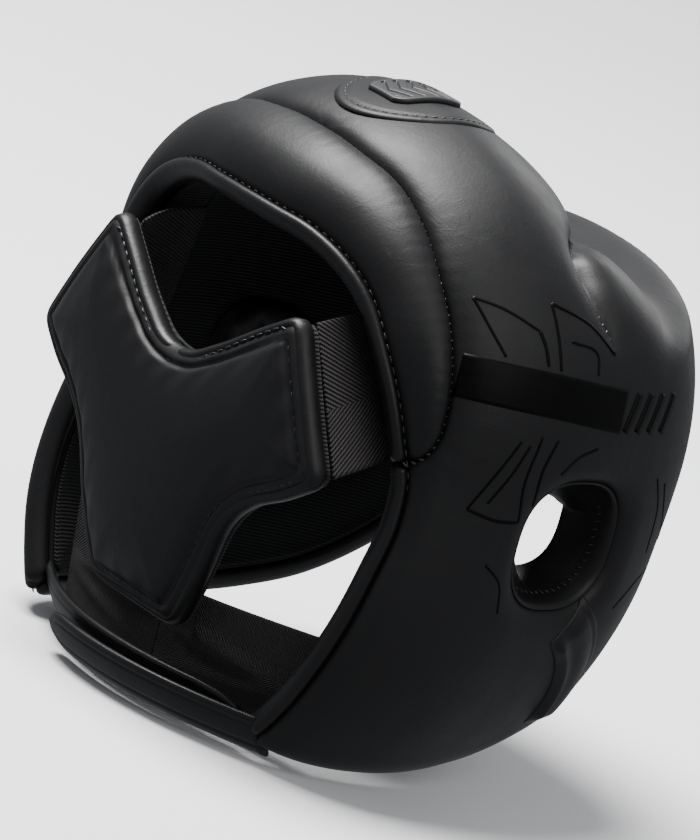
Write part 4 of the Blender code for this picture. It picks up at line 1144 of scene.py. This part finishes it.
class HEADGEAR_OT_rear_pad(bpy.types.Operator):
    """Y-shaped rear pad: swollen leather cushion with a rolled edge, its back cloth and its edge stitches"""

    bl_idname = "headgear.rear_pad"
    bl_label = "Rear pad"

    def execute(self, context):
        crown = sizes().pad_crown / CM
        count = 300
        plan = pad_surface(60, count)
        loop = pad_outline(180)
        gap = plan_distance(plan, loop)
        gap[-1] = 0.0
        swell = crown * (1 - np.exp(-(gap / 1.1) ** 1.2))
        edge = 0.30 * quarter_round(gap, 0.55)
        valley = 0.16 * np.exp(-((gap - 0.62) / 0.12) ** 2)
        face = pad_face(plan[..., 0], plan[..., 1])
        y = face - crown + swell - edge - valley
        y = y + 0.02 * np.sin(plan[..., 0] * 5.1 + plan[..., 1] * 2.2) * np.exp(-((gap - 0.9) / 0.5) ** 2)
        outer = np.stack([plan[..., 0], y, plan[..., 1]], -1)
        back = face - 1.42 + 0.45 * quarter_round(gap, 0.6)
        inner = np.stack([plan[..., 0], back, plan[..., 1]], -1)
        points, faces = closed_slab(outer, inner)
        pad = make_piece("rear_pad_cushion", points, faces, "skin", outward=False)
        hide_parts("rear_pad_cover", "rear_pad_foam")
        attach(pad, "rear_pad")
        plan = pad_surface(24, 160, 0.985)
        gap = plan_distance(plan, loop)
        face = pad_face(plan[..., 0], plan[..., 1])
        over = np.stack([plan[..., 0], face - 1.40 + 0.2 * quarter_round(gap, 0.5), plan[..., 1]], -1)
        under = np.stack([plan[..., 0], face - 1.60 + 0.2 * quarter_round(gap, 0.5), plan[..., 1]], -1)
        points, faces = closed_slab(over, under)
        cloth = make_piece("rear_pad_back_cloth", points, faces, "lining", outward=False)
        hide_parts("rear_pad_backing")
        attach(cloth, "rear_pad")
        rim = np.concatenate([pad_outline(220), pad_outline(220)[:1]])
        inward = (PAD_HUB - rim) / np.linalg.norm(PAD_HUB - rim, axis=1)[:, None]
        out = np.tile(np.array([0.0, 1.0, 0.0]), (len(rim), 1))
        ring = rim + inward * 0.60
        depth = pad_face(ring[:, 0], ring[:, 1]) - crown * math.exp(-(0.6 / 1.1) ** 1.2) - 0.15
        path = np.stack([ring[:, 0], depth, ring[:, 1]], -1)
        row = stitch_row("rear_pad_stitches", path, out, 0.42, sizes().stitch_length / CM, 0.07, 0.08, 0.0,
                         "rear_pad")
        ring = rim + inward * 0.22
        path = np.stack([ring[:, 0], pad_face(rim[:, 0], rim[:, 1]) - 0.95, ring[:, 1]], -1)
        made = tube_piece("rear_pad_roll", path, out, 0.42, 0.24)
        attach(made, "rear_pad")
        self.hook_tape()
        return {"FINISHED"}

    def hook_tape(self):
        """Ribbed hook tape sewn under the pad's foot."""
        u = np.linspace(-2.58, 2.58, 100)[:, None]
        v = np.linspace(-7.92, -5.92, 30)[None, :]
        face = pad_face(u, v)
        ribs = 0.02 * np.abs(np.sin(u * HALF_TURN / 0.24))
        outer = np.stack([u + 0 * v, face - 1.66, v + 0 * u], -1)
        inner = np.stack([u + 0 * v, face - 1.86 - ribs, v + 0 * u], -1)
        points, faces = shell_between(outer, inner, False, False)
        made = make_piece("rear_pad_hook_strip", points, faces, "hook")
        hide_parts("rear_pad_hook_tape")
        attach(made, "rear_pad")


# ---- elastics and neck straps ----


def woven_band(near, far, thickness, bow, columns, rows, tail=None, folds=0.0):
    """Sheet between two edges, bowed outward by a parabola, with two soft slanting folds, each a bell curve
    across the sheet; its surface map runs across and along it in metres."""
    s = np.linspace(0.0, 1.0, rows)[:, None, None]
    t = np.linspace(0.0, 1.0, columns)[None, :, None]
    near = np.array(near)
    far = np.array(far)
    a = near[0] + (near[1] - near[0]) * t
    b = far[0] + (far[1] - far[0]) * t
    grid = a * (1 - s) + b * s
    if tail is not None:
        tail = np.array(tail)
        c = tail[0] + (tail[1] - tail[0]) * t
        first = np.clip(s / 0.86, 0, 1)
        second = np.clip((s - 0.86) / 0.14, 0, 1)
        grid = a * (1 - first) + b * first + (c - b) * second
        s = first
    along = np.gradient(grid, axis=0)
    across = np.gradient(grid, axis=1)
    normal = np.cross(across, along)
    normal = normal / np.linalg.norm(normal, axis=-1)[..., None]
    away = grid - np.array([0.0, HEAD_CENTRE[1], grid[..., 2].mean()])
    normal = normal * np.sign(np.einsum("ijk,ijk->ij", normal, away).sum())
    slack = 4 * s * (1 - s)
    ridge = np.exp(-((t - 0.30 - 0.30 * s) / 0.09) ** 2) + 0.7 * np.exp(-((t - 0.78 + 0.12 * s) / 0.08) ** 2)
    grid = grid + normal * (slack * (bow + folds * ridge))
    length = np.linalg.norm(np.diff(grid, axis=0), axis=-1).mean(1)
    width = np.linalg.norm(np.diff(grid, axis=1), axis=-1).mean(0)
    v = np.r_[0.0, np.cumsum(length)][:, None] * CM + 0 * t[..., 0]
    u = np.r_[0.0, np.cumsum(width)][None, :] * CM + 0 * v
    edge = np.minimum(t[..., 0], 1 - t[..., 0]) * width.sum()
    body = thickness * (0.55 + 0.45 * np.clip(edge / 0.12, 0, 1) ** 0.5)
    high = grid + normal * (body / 2)[..., None]
    low = grid - normal * (body / 2)[..., None]
    points, faces = shell_between(high, low, False, False)
    surface = np.concatenate([np.stack([u, v], -1).reshape(-1, 2)] * 2)
    return points, faces, surface, (width.sum(), length.sum())


class HEADGEAR_OT_elastics(bpy.types.Operator):
    """Wide herringbone elastics from the arch down to the arms of the rear pad"""

    bl_idname = "headgear.elastics"
    bl_label = "Elastics"

    def execute(self, context):
        near = [(-5.6, 9.55, 5.5), (-8.55, 9.1, 0.6)]
        far = on_shell(np.array([(41.0, 30.5), (28.0, -3.0)]), np.array([-2.35, -2.35]))
        tail = on_shell(np.array([(36.0, 32.0), (23.0, -2.0)]), np.array([-2.8, -2.8]))
        points, faces, surface, size = woven_band(near, far, 0.15, 0.15, 90, 90, tail)
        for name, way in SIDES:
            made = make_piece("woven_elastic_" + name, way(points), faces, "elastic", uv=surface)
            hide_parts("elastic_" + name)
            start = way((far[0] + far[1])[None] / 2)[0] * CM
            end = way((np.array(near[0]) + np.array(near[1]))[None] / 2)[0] * CM
            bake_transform(made)
        return {"FINISHED"}


class HEADGEAR_OT_neck_straps(bpy.types.Operator):
    """Woven neck straps from the shell's rear edges to the middle of the neck, with two soft folds each"""

    bl_idname = "headgear.neck_straps"
    bl_label = "Neck straps"

    def execute(self, context):
        near = [(-0.02, 7.75, -6.6), (-0.02, 7.55, -10.15)]
        far = [tuple(on_shell(np.array([(24.5, -40.5)]), np.array([-2.65]))[0]), (-6.6, 7.0, -9.9)]
        points, faces, surface, size = woven_band(near, far, 0.17, 0.30, 90, 110, folds=0.16)
        for name, way in SIDES:
            made = make_piece("woven_neck_strap_" + name, way(points), faces, "webbing", uv=surface)
            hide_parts("neck_strap_" + name)
            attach(made, "shell")
        return {"FINISHED"}


# ---- neck flaps ----


def flap_solid(x_start, x_end, z_top, z_bottom, depth, thickness, swell, rows=90, columns=44):
    """Leather tongue along the neck: rounded tip, rolled edges and a soft crown, as one closed slab."""
    s = np.linspace(0.0, 1.0, rows)[:, None]
    t = np.linspace(0.0, 1.0, columns)[None, :]
    x = x_start + (x_end - x_start) * s + 0 * t
    tip = np.clip((s - 0.86) / 0.14, 0, 1)
    narrow = np.sqrt(np.clip(1 - tip ** 2, 0.0009, 1))
    centre = (z_top + z_bottom) / 2
    z = centre + (z_top - centre) * narrow * (1 - 2 * t)
    face = depth - 0.045 * x ** 2 - (z_top - z) * 0.6
    half = (z_top - z_bottom) / 2
    gap = np.minimum(np.abs(z - centre - half * narrow), np.abs(z - centre + half * narrow))
    gap = np.minimum(gap, np.abs(x_end - x) + 0 * t)
    crown = swell * (1 - np.exp(-(gap / 0.35) ** 1.3))
    roll = 0.5 * thickness * quarter_round(gap, 0.3)
    valley = 0.05 * np.exp(-((gap - 0.36) / 0.06) ** 2)
    high = np.stack([x, face - swell + crown - roll - valley, z], -1)
    low = np.stack([x, face - swell - thickness + roll * 0.8, z], -1)
    return shell_between(high, low, False, False)


class HEADGEAR_OT_neck_flaps(bpy.types.Operator):
    """Two overlapping neck flaps: the outer rides on a body of its own, the inner is a fixed tongue on the
    shell
    """

    bl_idname = "headgear.neck_flaps"
    bl_label = "Neck flaps"

    def execute(self, context):
        points, faces = flap_solid(-7.6, 3.3, -8.95, -10.42, 11.20, 0.45, 0.10)
        outer = make_piece("flap_right_skin", points, faces, "roll")
        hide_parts("flap_right_cover", "flap_right_foam")
        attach(outer, "neck_flap_right")
        points, faces = flap_solid(7.6, -6.3, -8.65, -10.1, 10.45, 0.45, 0.10)
        inner = make_piece("flap_left_skin", points, faces, "roll")
        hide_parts("flap_left_cover", "flap_left_foam")
        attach(inner, "shell")
        points, faces = flap_solid(-6.9, 3.0, -9.15, -10.25, 10.62, 0.11, 0.0)
        hook = make_piece("flap_right_hook_strip", points, faces, "hook")
        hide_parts("flap_right_hook")
        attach(hook, "neck_flap_right")
        points, faces = flap_solid(6.9, -6.0, -8.85, -9.95, 9.87, 0.11, 0.0)
        cloth = make_piece("flap_left_back_cloth", points, faces, "lining")
        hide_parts("flap_left_backing")
        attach(cloth, "shell")
        return {"FINISHED"}


# ---- stage ----


def area_light(name, place, look_at, size, power):
    """Round soft light aimed at a point, in metres and watts."""
    lamp = bpy.data.lights.new(name, "AREA")
    lamp.shape = "DISK"
    lamp.size = size
    lamp.energy = power
    made = bpy.data.objects.new(name, lamp)
    bpy.context.scene.collection.objects.link(made)
    made.location = place
    made.rotation_euler = (Vector(look_at) - Vector(place)).to_track_quat("-Z", "Y").to_euler()
    return made


class HEADGEAR_OT_stage(bpy.types.Operator):
    """Pale studio floor, soft lights and the camera"""

    bl_idname = "headgear.stage"
    bl_label = "Stage, lights and camera"

    def execute(self, context):
        paper = studio_paper("studio_paper", (*context.scene.headgear_colours.paper, 1.0))
        angle = np.linspace(0, 2 * HALF_TURN, 96, endpoint=False)
        ring = np.stack([6.0 * np.cos(angle), 6.0 * np.sin(angle), 0 * angle - 0.1075], -1)
        mesh = bpy.data.meshes.new("studio_floor")
        mesh.from_pydata(ring.tolist(), [], [tuple(range(96))])
        mesh.materials.append(paper)
        floor = bpy.data.objects.new("studio_floor", mesh)
        bpy.context.scene.collection.objects.link(floor)
        floor.visible_glossy = False
        floor.visible_diffuse = False
        world = bpy.data.worlds.new("studio_air")
        context.scene.world = world
        world.use_nodes = True
        world.node_tree.nodes["Background"].inputs["Color"].default_value = (0.93, 0.95, 1.0, 1.0)
        world.node_tree.nodes["Background"].inputs["Strength"].default_value = 0.42
        area_light("top_light", (0.75, 0.35, 2.2), (0.0, 0.0, 0.05), 1.5, 218.0)
        area_light("side_light", (-1.9, -0.15, 1.3), (0.0, 0.0, 0.0), 1.6, 14.0)
        area_light("front_light", (1.4, -2.6, 1.2), (0.0, 0.0, 0.0), 1.6, 16.0)
        self.camera(context)
        return {"FINISHED"}

    def camera(self, context):
        """Camera aimed a little off the origin, rolled, with a long lens."""
        azimuth, elevation, roll = (math.radians(a) for a in (229.30, 12.37, 17.66))
        back = Vector((math.sin(azimuth) * math.cos(elevation), -math.cos(azimuth) * math.cos(elevation),
                       math.sin(elevation)))
        level = Vector((math.cos(azimuth), math.sin(azimuth), 0.0))
        above = back.cross(level)
        right = math.cos(roll) * level + math.sin(roll) * above
        up = -math.sin(roll) * level + math.cos(roll) * above
        ahead = (-0.004486 * right + 0.001994 * up - back).normalized()
        right = ahead.cross(up).normalized()
        up = right.cross(ahead)
        turn = Matrix((right, up, -ahead)).transposed()
        lens = bpy.data.cameras.new("main_camera")
        lens.sensor_fit = "AUTO"
        lens.sensor_width = 36.0
        lens.lens = 343.9
        lens.clip_start = 0.1
        lens.clip_end = 50.0
        made = bpy.data.objects.new("main_camera", lens)
        context.scene.collection.objects.link(made)
        made.matrix_world = Matrix.Translation(back * 3.0) @ turn.to_4x4()
        context.scene.camera = made


# ---- add-on ----

OPERATORS = (HEADGEAR_OT_shell, HEADGEAR_OT_arch, HEADGEAR_OT_piping, HEADGEAR_OT_stitches,
             HEADGEAR_OT_ear_sleeves,
             HEADGEAR_OT_jaw_bands, HEADGEAR_OT_prints, HEADGEAR_OT_crown_badge, HEADGEAR_OT_rear_pad,
             HEADGEAR_OT_elastics, HEADGEAR_OT_neck_straps, HEADGEAR_OT_neck_flaps, HEADGEAR_OT_stage)


class HEADGEAR_PT_panel(bpy.types.Panel):
    """Sizes, colours and one button for each group of pieces"""

    bl_idname = "HEADGEAR_PT_panel"
    bl_label = "Boxing headgear"
    bl_space_type = "VIEW_3D"
    bl_region_type = "UI"
    bl_category = "Headgear"

    def draw(self, context):
        layout = self.layout
        for group in (context.scene.headgear_sizes, context.scene.headgear_colours):
            for name in group.__annotations__:
                layout.prop(group, name)
        for operator in OPERATORS:
            layout.operator(operator.bl_idname)


CLASSES = (HeadgearSizes, HeadgearColours) + OPERATORS + (HEADGEAR_PT_panel,)


def register():
    for item in CLASSES:
        bpy.utils.register_class(item)
    bpy.types.Scene.headgear_sizes = bpy.props.PointerProperty(type=HeadgearSizes)
    bpy.types.Scene.headgear_colours = bpy.props.PointerProperty(type=HeadgearColours)


def unregister():
    del bpy.types.Scene.headgear_sizes
    del bpy.types.Scene.headgear_colours
    for item in reversed(CLASSES):
        bpy.utils.unregister_class(item)


def main():
    register()
    bpy.ops.headgear.shell()
    bpy.ops.headgear.arch()
    bpy.ops.headgear.piping()
    bpy.ops.headgear.stitches()
    bpy.ops.headgear.ear_sleeves()
    bpy.ops.headgear.jaw_bands()
    bpy.ops.headgear.prints()
    bpy.ops.headgear.crown_badge()
    bpy.ops.headgear.rear_pad()
    bpy.ops.headgear.elastics()
    bpy.ops.headgear.neck_straps()
    bpy.ops.headgear.neck_flaps()
    bpy.ops.headgear.stage()


if __name__ == "__main__":
    main()
